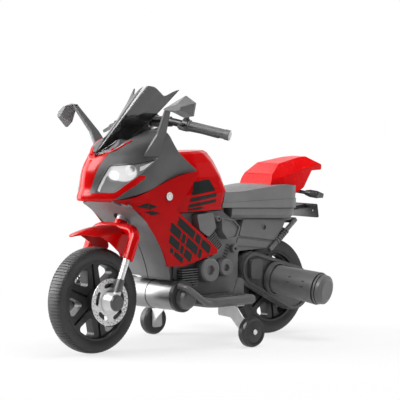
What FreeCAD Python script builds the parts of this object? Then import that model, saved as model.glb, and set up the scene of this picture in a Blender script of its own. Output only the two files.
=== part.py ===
import FreeCAD, Part
import math
import os

vec = FreeCAD.Vector

# Kids electric motorbike, millimetres: +X forward, +Y left, +Z up, ground at z = 0.

# Stance
FRONT_AXLE_X = 308.0
REAR_AXLE_X = -332.5
FRONT_RADIUS = 140.0
REAR_RADIUS = 133.0
TYRE_HALF_WIDTH = 26.0
TYRE_DEPTH = 34.0
TREAD_HALF_WIDTH = 18.0
TREAD_DROP = 2.5

# Fits
SHAFT_GAP = 0.05
PART_GAP = 0.3
RUN_GAP = 1.0
WALL = 3.0

# Wheels
RIM_WALL = 6.0
RIM_HALF_WIDTH = 23.0
WEB_HALF_WIDTH = 14.0
WINDOW_COUNT = 6
WINDOW_START_DEG = 8.0
WINDOW_SPAN_DEG = 38.0
WINDOW_IN = 44.0
SPOKE_GROOVE = 7.0
SPOKE_GROOVE_DEPTH = 5.0
HUB_RADIUS = 30.0
HUB_NECK_RADIUS = 19.0
HUB_CHAMFER = 6.0
AXLE_RADIUS = 5.0
DISC_RADIUS = 61.5
DISC_Y = 64.0
DISC_THICKNESS = 3.0
DISC_SLOTS = 5
DISC_SLOT_RADIUS = 44.0
DISC_SLOT_WIDTH = 9.0
DISC_SLOT_SPAN_DEG = 34.0

# Steering and fork
RAKE_DEG = 22.7
FORK_OFFSET = 14.5
LEG_Y = 82.0
TUBE_RADIUS = 9.0
LOWER_RADIUS = 12.0
SLEEVE_RADIUS = 14.5
LOWER_TOP_Z = 198.0
SLEEVE_LOW_Z = 248.0
CROWN_Z = 322.0
CARRIER_RADIUS = 31.0
CAP_RADIUS = 22.0
CARRIER_IN_Y = 71.0
CARRIER_OUT_Y = 94.0
CAP_OUT_Y = 102.0
STEM_RADIUS = 11.0
COLLAR_RADIUS = 14.0
HEAD_LOW_Z = 362.0
HEAD_TOP_Z = 560.0

# Mudguard: the ridge is an arc about a centre of its own, flatter than the tyre
GUARD_RADIUS = 342.0
GUARD_RIDGE_Z = 335.0
GUARD_CENTRE = (267.0, GUARD_RIDGE_Z - GUARD_RADIUS)
GUARD_HALF_WIDTH = 44.0
GUARD_CROWN = 21.0
GUARD_WALL = 3.0
GUARD_TIP_X = 394.0
GUARD_POINT = 74.0
GUARD_LOW_EDGE = [(366.0, 309.0, 20.0), (318.0, 311.0, 26.0), (284.0, 291.0, 40.0), (240.0, 254.0, 5.0)]

# Handlebar
BAR_RADIUS = 10.0
BAR_X = 109.0
BAR_Z = 611.0
BAR_BEND_Y = 77.0
BAR_END = (31.0, 224.0, 571.0)
SWITCH_BOX_Y = 53.0
SWITCH_BOX_WIDTH = 26.0
GRIP_RADIUS = 12.5
GRIP_LENGTH = 112.0
GRIP_FLANGE = 15.5
POD_RADIUS = 17.0
POD_WIDTH = 15.0
KNOB_RADIUS = 7.0
KNOB_RISE = 5.0
LEVER_AHEAD = 31.0
LEVER_DROP = 2.0
LEVER_THICKNESS = 7.0
LEVER_PIN_RADIUS = 3.0

# Body shell and wheel arch
SHELL_HALF_WIDTH = 58.0
SHELL_FRONT_X = 286.0
ARCH_WALL = 4.0
ARCH_TOP = (262.0, 388.0)
ARCH_MIDDLE = (156.0, 290.0)
ARCH_LOW = (112.0, 184.0)
REAR_ARCH_GAP = 15.0
SEAT_PAN_Z = 339.0

# Nose: height, tip and half width of each level of the fairing
FAIRING_HALF_WIDTH = 95.0
NOSE_LEVELS = [
    (398.0, 344.0, 95.0),
    (412.0, 352.0, 95.0),
    (432.0, 344.0, 95.0),
    (465.0, 338.0, 95.0),
    (497.0, 327.0, 94.0),
    (525.0, 309.0, 92.0),
    (555.0, 280.0, 88.0),
    (600.0, 232.0, 85.0),
]
NOSE_BACK_X = -20.0
STRIP_TOP = (540.0, 40.0)
STRIP_LOW = (421.0, 21.0)

# Seat and tank
SEAT_Z = 367.0
SEAT_TILT_DEG = 2.9
SEAT_HALF_WIDTH = 83.0
SEAT_FRONT_X = -72.0
SEAT_REAR_X = -392.0
SEAT_CORNER = 44.0
SEAT_GROOVE_Z = (377.0, 396.0)
SEAT_STEP = 1.6
SEAT_STATIONS = [
    (-60.0, 411.0, 405.0),
    (-120.0, 411.0, 406.0),
    (-169.0, 412.0, 411.0),
    (-203.0, 414.0, 421.0),
    (-236.0, 418.0, 428.0),
    (-286.0, 426.0, 431.0),
    (-333.0, 430.0, 432.0),
    (-400.0, 427.0, 428.0),
]
SEAT_FLUTES = 5
SEAT_FLUTE_RADIUS = 2.0
TANK_FRONT_X = 100.0
TANK_LEVELS = [
    (362.0, -138.0, 83.0),
    (407.0, -149.0, 84.0),
    (452.0, -130.0, 79.0),
    (491.0, -108.0, 66.0),
    (514.0, -90.0, 52.0),
    (520.0, -80.0, 42.0),
]

# Drive covers
SWING_IN_Y = 42.0
SWING_OUT_Y = 76.0
SWING_FRONT = (-212.0, 193.0, 46.0)
SWING_REAR = (-370.0, 130.0, 62.0)
SWING_RIM = 5.0
BARREL_START = (-291.0, 76.0, 161.0)
BARREL_END = (-321.0, 215.0, 141.0)
BARREL_RADIUS = 38.0
BARREL_FLARE = 45.0
BARREL_CAP_RADIUS = 42.0
BARREL_CAP_LENGTH = 27.0

# Footboards and cross pipe
PIPE_X = 84.0
PIPE_Z = 141.0
PIPE_RADIUS = 39.0
PIPE_END_Y = 96.0
RING_RADIUS = 42.0
RING_WIDTH = 13.0
STUB_RADIUS = 28.0
STUB_CHAMFER = 5.0
STUB_END_Y = 136.0
BOARD_TOP_Z = 134.0
BOARD_LOW_Z = 110.0
BOARD_OUT_Y = 163.0
BOARD_FRONT_X = 34.0
BOARD_REAR_X = -136.0
BOARD_RIBS = 6
RAIL_RADIUS = 8.0
HEEL_TAB_Y = 118.0

# Stabilisers
STAB_X = -83.5
STAB_RADIUS = 41.0
STAB_IN_Y = 182.0
STAB_OUT_Y = 207.0
STAB_PIN_RADIUS = 4.0
STRAP = 4.0
STAB_LUG = 34.0
STAB_FLANGE_Y = (84.0, 150.0)

# Headlights and screen
BOWL_DEPTH = 24.0
BOWL_REFLECTORS = [(283.0, 58.0, 468.0, 17.0), (243.0, 80.0, 483.0, 14.0)]
SCREEN_WALL = 2.5
SCREEN_LEVELS = [
    (520.0, 299.0, (296.0, 5.0), (292.0, 10.0)),
    (534.0, 284.0, (278.0, 13.0), (268.0, 26.0)),
    (558.0, 256.0, (243.0, 30.0), (231.0, 46.0)),
    (600.0, 211.0, (187.0, 42.0), (172.0, 62.0)),
    (650.0, 159.0, (137.0, 47.0), (119.0, 76.0)),
    (705.0, 102.0, (86.0, 47.0), (66.0, 94.0)),
]
SCREEN_TOP_Z = 697.0
SCREEN_TOP_DROPS = [(24.0, 4.0), (46.0, 18.0), (62.0, 25.0), (78.0, 14.0), (90.0, 9.0), (104.0, 8.0)]
DASH_OUTLINE = [
    (284.0, 526.0, 4.0), (254.0, 549.0, 30.0), (204.0, 594.0, 30.0), (164.0, 608.0, 6.0), (150.0, 584.0, 6.0),
    (134.0, 566.0, 4.0), (150.0, 556.0, 4.0), (262.0, 520.0, 4.0)]

# Mirrors
MIRROR_ROOT = (185.0, 90.0, 516.0)
MIRROR_TOP = (210.0, 186.0, 646.0)
MIRROR_BOW = -40.0
MIRROR_SWEEP_DEG = 11.5
MIRROR_DROOP_DEG = 38.0
MIRROR_DEPTH = 26.0
MIRROR_RIM_DEPTH = 7.0
MIRROR_GLASS = 2.0
MIRROR_RIM = [(-6.0, -6.0), (18.0, -12.0), (48.0, -24.0), (77.0, -20.0), (84.0, 14.0), (54.0, 32.0), (14.0, 12.0)]
MIRROR_RIDGE = [(2.0, -3.0), (18.0, -5.0), (42.0, -6.0), (56.0, -3.0), (58.0, 4.0), (44.0, 9.0), (16.0, 4.0)]

# Side fairing: bow (height, half width), then the side outline
FAIRING_WALL = 3.5
FAIRING_FLANGE = 30.0
FAIRING_BOW = [(190.0, 87.0), (250.0, 92.0), (340.0, 95.0), (420.0, 95.0), (490.0, 94.5)]
FAIRING_FRONT_EDGE = [(313.0, 404.5), (262.0, 390.0), (227.0, 368.0), (190.0, 329.0), (157.0, 286.0), (125.0, 222.0)]
FAIRING_LOW_EDGE = [(66.0, 219.0), (-54.0, 246.0)]
FAIRING_BEND_X = 196.0
SKIRT_DROP = 78.0
RIDGE_TIP = (-57.0, 258.0)
RIDGE_TOP = (98.0, 371.0)
FAIRING_TOP_EDGE = [(11.0, 467.0), (76.0, 462.0), (191.0, 427.0)]

# Body shell, whose top follows the tilted seat pan
SEAT_FALL = math.tan(math.radians(SEAT_TILT_DEG))


def pan_z(x, above=0.0):
    """Height over the seat pan's tilted underside at x."""
    depth = (SEAT_Z - SEAT_PAN_Z) / math.cos(math.radians(SEAT_TILT_DEG))
    return SEAT_Z - depth + above - (SEAT_FRONT_X - x) * SEAT_FALL


SWING_FACE_X = SWING_FRONT[0] + SWING_FRONT[2] + 0.5
SHELL_OUTLINE = [
    (SHELL_FRONT_X, 398.0, 0), (SHELL_FRONT_X, 404.0, 0), (262.0, 424.0, 10.0), (205.0, 470.0, 10.0), (172.0, 556.0, 6.0),
    (96.0, 556.0, 8.0), (72.0, 480.0, 20.0), (28.0, 440.0, 20.0), (-62.0, 430.0, 30.0), (-104.0, 398.0, 12.0),
    (-112.0, 352.0, 6.0), (-128.0, pan_z(-128.0), 0), (-392.0, pan_z(-392.0), 3.0), (-392.0, 309.0, 3.0),
    (-356.0, 309.0, 4.0), (-330.0, 270.0, 4.0), (-310.0, 262.0, 4.0), (-276.0, 245.0, 4.0), (-170.0, 243.0, 4.0), (SWING_FACE_X, 234.0, 6.0),
    (SWING_FACE_X, 140.0, 8.0), (-146.0, 106.0, 8.0), (84.0, 106.0, 0), (84.0, 190.0, 0), (200.0, 190.0, 0)]
STRUT_TOP = (-385.0, 318.0)
STRUT_LOW = (-284.0, 239.0)
STRUT_Y = 61.0
STRUT_RADIUS = 6.5
BELLOWS_RADIUS = 9.0
BELLOWS_RINGS = 6
BELLOWS_PITCH = 8.5
BELLOWS_RING = 4.5
BELLOWS_START = 46.0
PANEL_OUTLINE = [(-183.0, 329.0, 3.0), (-343.0, 320.0, 3.0), (-309.0, 264.0, 4.0), (-168.0, 285.0, 4.0)]
PANEL_OUT = 3.0
PANEL_DISC = (-264.0, 303.0)
PANEL_DISC_RADIUS = 8.0
STRIP_OUTLINE = [(-164.0, 279.0, 2.0), (-288.0, 260.0, 2.0), (-271.0, 246.0, 2.0), (-157.0, 259.0, 2.0)]
STRIP_OUT = 2.0
POCKETS = [
    [(-150.0, 330.0, 0), (-181.0, 328.0, 0), (-171.0, 300.0, 0), (-152.0, 308.0, 0)],
    [(-349.0, 317.0, 0), (-378.0, 316.0, 0), (-352.0, 294.0, 0), (-338.0, 299.0, 0)]]
POCKET_DEPTH = 14.0
BATTERY = (150.0, 66.0, 94.0)
BATTERY_X = -60.0
BATTERY_Z = 124.0
BAY_GAP = 2.0
SOCKET_X = -210.0
SOCKET_Z = 306.0
SOCKET_RADIUS = 5.5
SOCKET_DEPTH = 14.0

# Seat pan and tail
SEAT_PAN_FRONT_X = -132.0
TAIL_LOW_Z = 380.0
TAIL_TOP_Z = 490.0
TAIL_END_X = -512.0
TAIL_OUTLINE = [
    (-284.0, 410.0, 2.0), (-300.0, 446.0, 20.0), (-338.0, 474.0, 6.0), (-425.0, 487.0, 60.0), (-462.0, 489.0, 16.0),
    (TAIL_END_X, 464.0, 5.0), (TAIL_END_X, 450.0, 4.0), (-466.0, 450.0, 8.0), (-430.0, 404.0, 30.0), (-376.0, 384.0, 3.0),
    (-362.0, 402.0, 3.0)]
TAIL_WIDTHS = [
    (-270.0, 62.0, 60.0, 430.0, 36.0),
    (-340.0, 62.0, 60.0, 438.0, 34.0),
    (-425.0, 50.0, 52.0, 458.0, 26.0),
    (-540.0, 26.0, 34.0, 470.0, 14.0)]
LAMP_OUTLINE = [(-522.0, 462.0, 0), (-496.0, 458.0, 0), (-490.0, 440.0, 0), (-522.0, 440.0, 0)]
LAMP_HALF_WIDTH = 15.0
SIGNAL_ROOT = (-404.0, 14.0, 398.0)
SIGNAL_END = (-456.0, 76.0, 384.0)
SIGNAL_STALK = 5.0
SIGNAL_RADIUS = 10.5
SIGNAL_LENS = 18.0
PLATE_X = -474.0
PLATE_HALF = 62.0
PLATE_Z = (318.0, 356.0)
PLATE_WALL = 4.0
PLATE_ARM_HALF = 12.0
PLATE_HOLE = 3.0
PLATE_HOLE_Y = 40.0

# Engine cover reliefs, as side outlines on the shell's side wall
ENGINE_PLATE = 5.0
AIRBOX_OUTLINE = [(14.0, 353.0, 6.0), (-46.0, 356.0, 6.0), (-57.0, 314.0, 8.0), (-28.0, 292.0, 8.0), (4.0, 312.0, 6.0)]
AIRBOX_OUT = 24.0
CLUTCH_OUTLINE = [(-72.0, 342.0, 8.0), (-116.0, 334.0, 10.0), (-142.0, 312.0, 8.0), (-128.0, 284.0, 14.0),
                  (-96.0, 280.0, 14.0), (-74.0, 304.0, 14.0)]
CLUTCH_OUT = 30.0
CLUTCH_RIM = 4.0
ROUND_COVERS = [(-28.0, 202.0, 33.0, 34.0), (-95.0, 204.0, 24.0, 26.0), (-141.0, 252.0, 11.0, 12.0),
                (-66.0, 338.0, 8.0, 26.0)]
FIN_THICKNESS = 2.6
FIN_PITCH = 6.4
REAR_FINS = 9
REAR_FIN_TOP = (-36.0, 292.0)
REAR_FIN_LEAN_DEG = 36.0
REAR_FIN_LENGTH = 48.0
REAR_FIN_OUT = 20.0
FRONT_FINS = 8
FRONT_FIN_X = (8.0, 66.0)
FRONT_FIN_LOW_Z = 162.0
FRONT_FIN_OUT = 22.0

# Pedal and buttons
PEDAL_PIVOT = (-66.0, 143.0)
PEDAL_LENGTH = 78.0
PEDAL_Y = (88.0, 146.0)
PEDAL_THICKNESS = 6.0
PEDAL_REST_DEG = 11.0
PEDAL_PIN = 2.5
BUTTON_RADIUS = 7.0
BUTTON_TRAVEL = 2.0
BUTTON_RISE = 4.5
BUTTON_DEPTH = 9.0


def side(y):
    """Outline (a, b) lies as (x, z) in the upright lengthwise plane at y."""
    return lambda a, b: vec(a, y, b)


def plan(z):
    """Outline (a, b) lies as (x, y) in the level plane at z."""
    return lambda a, b: vec(a, b, z)


def front(x):
    """Outline (a, b) lies as (y, z) in the upright crosswise plane at x."""
    return lambda a, b: vec(x, a, b)


def rounded(points, place):
    """Closed wire through corners (a, b, radius), each rounded by an arc tangent to its two sides."""
    corners = []
    for index, (a, b, radius) in enumerate(points):
        here = vec(a, b, 0)
        back = vec(points[index - 1][0], points[index - 1][1], 0) - here
        onward = points[(index + 1) % len(points)]
        ahead = vec(onward[0], onward[1], 0) - here
        back.normalize()
        ahead.normalize()
        half = back.getAngle(ahead) / 2
        middle = (back + ahead).normalize() if radius else vec(0, 0, 0)
        reach = radius / math.tan(half)
        rise = radius / math.sin(half) - radius
        corners.append((here + back * reach, here + middle * rise, here + ahead * reach))
    edges = []
    for index, (start, middle, end) in enumerate(corners):
        if points[index][2]:
            arc = Part.Arc(*[place(p.x, p.y) for p in (start, middle, end)])
            edges.append(arc.toShape())
        follow = corners[(index + 1) % len(corners)][0]
        if (follow - end).Length > 0.001:
            edges.append(Part.LineSegment(place(end.x, end.y), place(follow.x, follow.y)).toShape())
    return Part.Wire(edges)


def slab(points, place, depth):
    """Prism of a rounded outline, drawn out along the depth vector."""
    return Part.Face(rounded(points, place)).extrude(depth)


def through(points):
    """Smooth curve through points."""
    curve = Part.BSplineCurve()
    curve.interpolate(points)
    return curve.toShape()


def mirrored(shape):
    """The right-hand twin of a left-hand piece."""
    return shape.mirror(vec(0, 0, 0), vec(0, 1, 0))


def turned(points, x, z):
    """Solid of revolution about the crosswise line through (x, z), from corners (radius, y, rounding)."""
    face = Part.Face(rounded(points, lambda a, b: vec(x + a, b, z)))
    return face.revolve(vec(x, 0, z), vec(0, 1, 0), 360)


def rod(start, end, radius):
    """Round bar between two points."""
    return Part.makeCylinder(radius, (end - start).Length, start, end - start)


def cone(start, end, radius, radius_end):
    """Tapered round bar between two points."""
    return Part.makeCone(radius, radius_end, (end - start).Length, start, end - start)


def bent_tube(points, radius, bend):
    """Round bar along straight runs joined by tangent arcs of one bend radius."""
    edges = []
    start = points[0]
    for index in range(1, len(points) - 1):
        here = points[index]
        back = (points[index - 1] - here).normalize()
        ahead = (points[index + 1] - here).normalize()
        half = back.getAngle(ahead) / 2
        first = here + back * (bend / math.tan(half))
        last = here + ahead * (bend / math.tan(half))
        middle = here + (back + ahead).normalize() * (bend / math.sin(half) - bend)
        edges.append(Part.LineSegment(start, first).toShape())
        edges.append(Part.Arc(first, middle, last).toShape())
        start = last
    edges.append(Part.LineSegment(start, points[-1]).toShape())
    path = Part.Wire(edges)
    circle = Part.Circle(points[0], points[1] - points[0], radius).toShape()
    return path.makePipeShell([Part.Wire([circle])], True, False)


def cut_all(shape, tools):
    """Shape less each of the tools."""
    for tool in tools:
        shape = shape.cut(tool)
    return shape


def fused(shapes):
    """One solid from shapes that touch or overlap."""
    result = shapes[0]
    for shape in shapes[1:]:
        result = result.fuse(shape)
    return result.removeSplitter()


def ring_of(shape, count, x, z, start_deg=0.0):
    """Copies of a shape turned evenly about the crosswise line through (x, z)."""
    copies = []
    for index in range(count):
        copy = shape.copy()
        copy.rotate(vec(x, 0, z), vec(0, 1, 0), start_deg + index * 360.0 / count)
        copies.append(copy)
    return copies


# The steering axis leans back by the rake and lies behind the fork legs by the fork offset.
RAKE = math.radians(RAKE_DEG)
UP_AXIS = vec(-math.sin(RAKE), 0, math.cos(RAKE))


def leg_point(z, y=0.0, behind=0.0):
    """Point at height z on the fork leg line, moved square to it towards the rear."""
    base = vec(FRONT_AXLE_X, y, FRONT_RADIUS) - vec(math.cos(RAKE), 0, math.sin(RAKE)) * behind
    return base + UP_AXIS * ((z - base.z) / UP_AXIS.z)


def steer_point(z):
    """Point at height z on the steering axis."""
    return leg_point(z, 0.0, FORK_OFFSET)


EVERYWHERE = 2000.0
LEFT_HALF = Part.makeBox(EVERYWHERE, EVERYWHERE, EVERYWHERE, vec(-EVERYWHERE / 2, 0, -EVERYWHERE / 2))


# Wheels: a plastic tyre band, a rim with broad spokes and a long hub

def tyre(x, radius):
    """Tyre band with a crowned tread and plain sidewalls."""
    seat = radius - TYRE_DEPTH
    shoulder = radius - TREAD_DROP
    half = [
        (radius, TREAD_HALF_WIDTH * 0.5, 0),
        (shoulder, TREAD_HALF_WIDTH, 0),
        (radius - TYRE_DEPTH * 0.3, TYRE_HALF_WIDTH - TREAD_DROP / 2, 0),
        (radius - TYRE_DEPTH * 0.6, TYRE_HALF_WIDTH, 0),
        (seat, RIM_HALF_WIDTH, 0),
    ]
    profile = half + [(r, -y, f) for r, y, f in reversed(half)]
    return turned(profile, x, radius)


def wheel_window(x, radius):
    """Opening between two spokes: a rounded wedge right through the web."""
    out = radius - TYRE_DEPTH - RIM_WALL - 4.0
    half = math.radians(WINDOW_SPAN_DEG) / 2
    corners = [
        (WINDOW_IN, 0.0, 8.0),
        (out * math.cos(half), out * math.sin(half), 9.0),
        (out, 0.0, 0.0),
        (out * math.cos(half), -out * math.sin(half), 9.0),
    ]
    depth = 4 * WEB_HALF_WIDTH

    def place(a, b):
        return vec(x + a, -depth / 2, radius + b)
    return Part.Face(rounded(corners, place)).extrude(vec(0, depth, 0))


def spoke_groove(x, radius, y):
    """Channel along one spoke's face."""
    length = radius - TYRE_DEPTH - RIM_WALL - HUB_RADIUS
    return Part.makeBox(length, SPOKE_GROOVE_DEPTH, SPOKE_GROOVE, vec(x + HUB_RADIUS, y, radius - SPOKE_GROOVE / 2))


def wheel(x, radius, hub_half, neck_half):
    """Rim, web with windows, hub drum and hub necks."""
    seat = radius - TYRE_DEPTH - PART_GAP
    rim = turned([
        (seat, -RIM_HALF_WIDTH, 0), (seat, RIM_HALF_WIDTH, 0),
        (seat - RIM_WALL, RIM_HALF_WIDTH, 0), (seat - RIM_WALL * 1.6, 0.0, 0),
        (seat - RIM_WALL, -RIM_HALF_WIDTH, 0)], x, radius)
    web = Part.makeCylinder(seat - RIM_WALL * 0.5, 2 * WEB_HALF_WIDTH,
                            vec(x, -WEB_HALF_WIDTH, radius), vec(0, 1, 0))
    web = cut_all(web, ring_of(wheel_window(x, radius), WINDOW_COUNT, x, radius, WINDOW_START_DEG))
    spoke_turn = WINDOW_START_DEG + 180.0 / WINDOW_COUNT
    for y in (-WEB_HALF_WIDTH, WEB_HALF_WIDTH - SPOKE_GROOVE_DEPTH):
        web = cut_all(web, ring_of(spoke_groove(x, radius, y), WINDOW_COUNT, x, radius, spoke_turn))
    hub = turned([
        (0.1, -neck_half, 0), (0.1, neck_half, 0), (HUB_NECK_RADIUS, neck_half, 0),
        (HUB_NECK_RADIUS, hub_half, 0), (HUB_RADIUS, hub_half - HUB_CHAMFER, 0),
        (HUB_RADIUS, HUB_CHAMFER - hub_half, 0), (HUB_NECK_RADIUS, -hub_half, 0),
        (HUB_NECK_RADIUS, -neck_half, 0)], x, radius)
    bore = Part.makeCylinder(AXLE_RADIUS + SHAFT_GAP, 4 * neck_half,
                             vec(x, -2 * neck_half, radius), vec(0, 1, 0))
    return fused([rim, web, hub]).cut(bore)


def brake_disc():
    """Left brake disc with kidney slots, round the hub neck and against its flange."""
    disc = Part.makeCylinder(DISC_RADIUS, DISC_THICKNESS, vec(FRONT_AXLE_X, DISC_Y, FRONT_RADIUS), vec(0, 1, 0))
    bore = Part.makeCylinder(HUB_NECK_RADIUS - 4.0, DISC_THICKNESS, vec(FRONT_AXLE_X, DISC_Y, FRONT_RADIUS),
                             vec(0, 1, 0))
    half = math.radians(DISC_SLOT_SPAN_DEG) / 2
    inner = DISC_SLOT_RADIUS - DISC_SLOT_WIDTH / 2
    outer = DISC_SLOT_RADIUS + DISC_SLOT_WIDTH / 2

    def at(radius, angle):
        return vec(FRONT_AXLE_X + radius * math.cos(angle), DISC_Y, FRONT_RADIUS + radius * math.sin(angle))

    def cap(angle, sign):
        middle = at(DISC_SLOT_RADIUS, angle + sign * DISC_SLOT_WIDTH / 2 / DISC_SLOT_RADIUS)
        return Part.Arc(at(outer, angle), middle, at(inner, angle)).toShape()

    slot = Part.Wire([
        Part.Arc(at(inner, -half), at(inner, 0), at(inner, half)).toShape(), cap(half, 1),
        Part.Arc(at(outer, half), at(outer, 0), at(outer, -half)).toShape(), cap(-half, -1)])
    slot = Part.Face(slot).extrude(vec(0, DISC_THICKNESS, 0))
    return cut_all(disc.cut(bore), ring_of(slot, DISC_SLOTS, FRONT_AXLE_X, FRONT_RADIUS, 19.0))


front_tyre = tyre(FRONT_AXLE_X, FRONT_RADIUS)
front_wheel = wheel(FRONT_AXLE_X, FRONT_RADIUS, RIM_HALF_WIDTH + 12.0, DISC_Y)
disc_left = brake_disc()
brake_discs = Part.makeCompound([disc_left, mirrored(disc_left)])
front_axle = rod(vec(FRONT_AXLE_X, -CARRIER_OUT_Y, FRONT_RADIUS), vec(FRONT_AXLE_X, CARRIER_OUT_Y, FRONT_RADIUS),
                 AXLE_RADIUS)
rear_tyre = tyre(REAR_AXLE_X, REAR_RADIUS)
rear_hub_half = SWING_IN_Y - RUN_GAP
rear_wheel = wheel(REAR_AXLE_X, REAR_RADIUS, rear_hub_half - 4.0, rear_hub_half)
rear_axle = rod(vec(REAR_AXLE_X, 4.0 - SWING_OUT_Y, REAR_RADIUS), vec(REAR_AXLE_X, SWING_OUT_Y - 4.0, REAR_RADIUS),
                AXLE_RADIUS)


# Fork: lowers with the axle carrier, chrome tubes, and a red crown with a sleeve on each leg

def fork_lower():
    """Left lower leg and the cone-shaped carrier that holds the axle, with a domed cap."""
    carrier = turned([
        (0.1, CARRIER_IN_Y, 0), (CARRIER_RADIUS, CARRIER_IN_Y, 0), (CARRIER_RADIUS - 1.5, CARRIER_IN_Y + 6.0, 0),
        (CAP_RADIUS + 1.5, CARRIER_OUT_Y - 3.0, 0), (CAP_RADIUS, CARRIER_OUT_Y + 1.0, 0),
        (CAP_RADIUS - 2.0, CAP_OUT_Y - 2.0, 0), (CAP_RADIUS - 7.0, CAP_OUT_Y, 0), (0.1, CAP_OUT_Y, 0)],
        FRONT_AXLE_X, FRONT_RADIUS)
    leg = rod(vec(FRONT_AXLE_X, LEG_Y, FRONT_RADIUS), leg_point(LOWER_TOP_Z, LEG_Y), LOWER_RADIUS)
    bore = rod(leg_point(LOWER_TOP_Z - 30.0, LEG_Y), leg_point(LOWER_TOP_Z + 10.0, LEG_Y), TUBE_RADIUS)
    axle_hole = rod(vec(FRONT_AXLE_X, 0, FRONT_RADIUS), vec(FRONT_AXLE_X, CARRIER_OUT_Y, FRONT_RADIUS), AXLE_RADIUS)
    return cut_all(fused([carrier, leg]), [bore, axle_hole])


def fork_sleeve_axis(z):
    """Sleeves lie a little behind the chrome tubes."""
    return leg_point(z, LEG_Y, SLEEVE_RADIUS - TUBE_RADIUS - 1.5)


def fork_crown():
    """Round bridge from the collar out to both legs, turning down into the sleeves."""
    low = fork_sleeve_axis(SLEEVE_LOW_Z)
    corner = fork_sleeve_axis(CROWN_Z)
    middle = vec(corner.x - 6.0, 0, CROWN_Z + 4.0)
    far = [vec(p.x, -p.y, p.z) for p in (low, corner)]
    yoke = bent_tube(far + [middle, corner, low], SLEEVE_RADIUS, 30.0)
    boss = rod(steer_point(CROWN_Z - 14.0), steer_point(CROWN_Z + 22.0), COLLAR_RADIUS + 3.0)
    bores = [rod(leg_point(SLEEVE_LOW_Z - 12.0, y), leg_point(SLEEVE_LOW_Z + 50.0, y), TUBE_RADIUS)
             for y in (LEG_Y, -LEG_Y)]
    stem_hole = rod(steer_point(CROWN_Z - 6.0), steer_point(CROWN_Z + 40.0), STEM_RADIUS)
    return cut_all(fused([yoke, boss]), bores + [stem_hole])


def guard_section(inset):
    """Crosswise outline of the guard at its ridge line: straight cheeks and a crowned roof."""
    x, z = GUARD_CENTRE
    half = GUARD_HALF_WIDTH - inset
    shoulder = z + GUARD_RADIUS - GUARD_CROWN - inset
    low = z + GUARD_RADIUS / 2
    roof = Part.Arc(vec(x, -half, shoulder), vec(x, 0, z + GUARD_RADIUS - inset), vec(x, half, shoulder)).toShape()
    rest = [vec(x, half, shoulder), vec(x, half, low), vec(x, -half, low), vec(x, -half, shoulder)]
    return Part.Wire([roof] + [Part.LineSegment(a, b).toShape() for a, b in zip(rest, rest[1:])])


def guard_body(inset):
    """Solid swept by the section along the ridge arc."""
    x, z = GUARD_CENTRE
    section = Part.Face(guard_section(inset))
    section.rotate(vec(x, 0, z), vec(0, 1, 0), -20.0)
    return section.revolve(vec(x, 0, z), vec(0, 1, 0), 60.0)


def mudguard():
    """Crowned arch over the front tyre with a pointed front and cheeks that reach back to the fork crown."""
    rear_x, rear_z, _ = GUARD_LOW_EDGE[-1]
    top = GUARD_CENTRE[1] + GUARD_RADIUS + 10.0
    trim = slab([(GUARD_TIP_X, GUARD_LOW_EDGE[0][1] - 4.0, 0)] + GUARD_LOW_EDGE + [
        (rear_x - 26.0, rear_z + 16.0, 12.0), (rear_x - 8.0, top, 0), (GUARD_TIP_X, top, 0)],
        side(-GUARD_HALF_WIDTH), vec(0, 2 * GUARD_HALF_WIDTH, 0))
    point = slab([
        (GUARD_TIP_X, 0.0, 10.0), (GUARD_TIP_X - GUARD_POINT, GUARD_HALF_WIDTH + 3.0, 50.0),
        (rear_x - 60.0, GUARD_HALF_WIDTH + 3.0, 0.0), (rear_x - 60.0, -GUARD_HALF_WIDTH - 3.0, 0.0),
        (GUARD_TIP_X - GUARD_POINT, -GUARD_HALF_WIDTH - 3.0, 50.0)], plan(0), vec(0, 0, EVERYWHERE))
    return guard_body(0.0).cut(guard_body(GUARD_WALL)).common(trim).common(point)


lower_left = fork_lower()
fork_lowers = Part.makeCompound([lower_left, mirrored(lower_left)])
tube_left = rod(leg_point(LOWER_TOP_Z - 30.0, LEG_Y), leg_point(SLEEVE_LOW_Z + 50.0, LEG_Y), TUBE_RADIUS)
fork_tubes = Part.makeCompound([tube_left, mirrored(tube_left)])
crown = fork_crown()
front_mudguard = mudguard().cut(crown)


# Handlebar: swept bar with switch boxes and ring pods, soft grips, and a lever hung on a perch each side

def bar_frame():
    """Bend point, then the unit vectors along the left grip, ahead of it and up from it."""
    bend = vec(BAR_X, BAR_BEND_Y, BAR_Z - 4.0)
    along = (vec(*BAR_END) - bend).normalize()
    ahead = vec(1, 0, 0) - along * along.x
    ahead = (ahead - vec(0, 0, LEVER_DROP / LEVER_AHEAD)).normalize()
    ahead = (ahead - along * along.dot(ahead)).normalize()
    return bend, along, ahead, along.cross(ahead) * -1.0


def bar_point(along_mm, ahead_mm=0.0, up_mm=0.0):
    """Point measured back from the left bar end."""
    _, along, ahead, up = bar_frame()
    return vec(*BAR_END) - along * along_mm + ahead * ahead_mm + up * up_mm


PERCH_BACK = GRIP_LENGTH + 12.0
LEVER_PIVOT_AHEAD = POD_RADIUS + 7.0


def lever_outline(grow):
    """Blade and root of the lever as (back from bar end, ahead) corners."""
    root = PERCH_BACK
    return [
        (root + 9.0 + grow, LEVER_PIVOT_AHEAD - 7.0 - grow, 5.0),
        (root + 9.0 + grow, LEVER_PIVOT_AHEAD + 8.0 + grow, 6.0),
        (root - 16.0, LEVER_AHEAD + 9.0 + grow, 10.0),
        (root - 60.0, LEVER_AHEAD + 3.0 + grow, 60.0),
        (14.0, LEVER_AHEAD + 7.0 + grow, 4.0),
        (10.0, LEVER_AHEAD - 1.0 - grow, 4.0),
        (root - 58.0, LEVER_AHEAD - 6.0 - grow, 60.0),
        (root - 12.0, LEVER_PIVOT_AHEAD - 1.0 - grow, 12.0),
    ]


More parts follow.
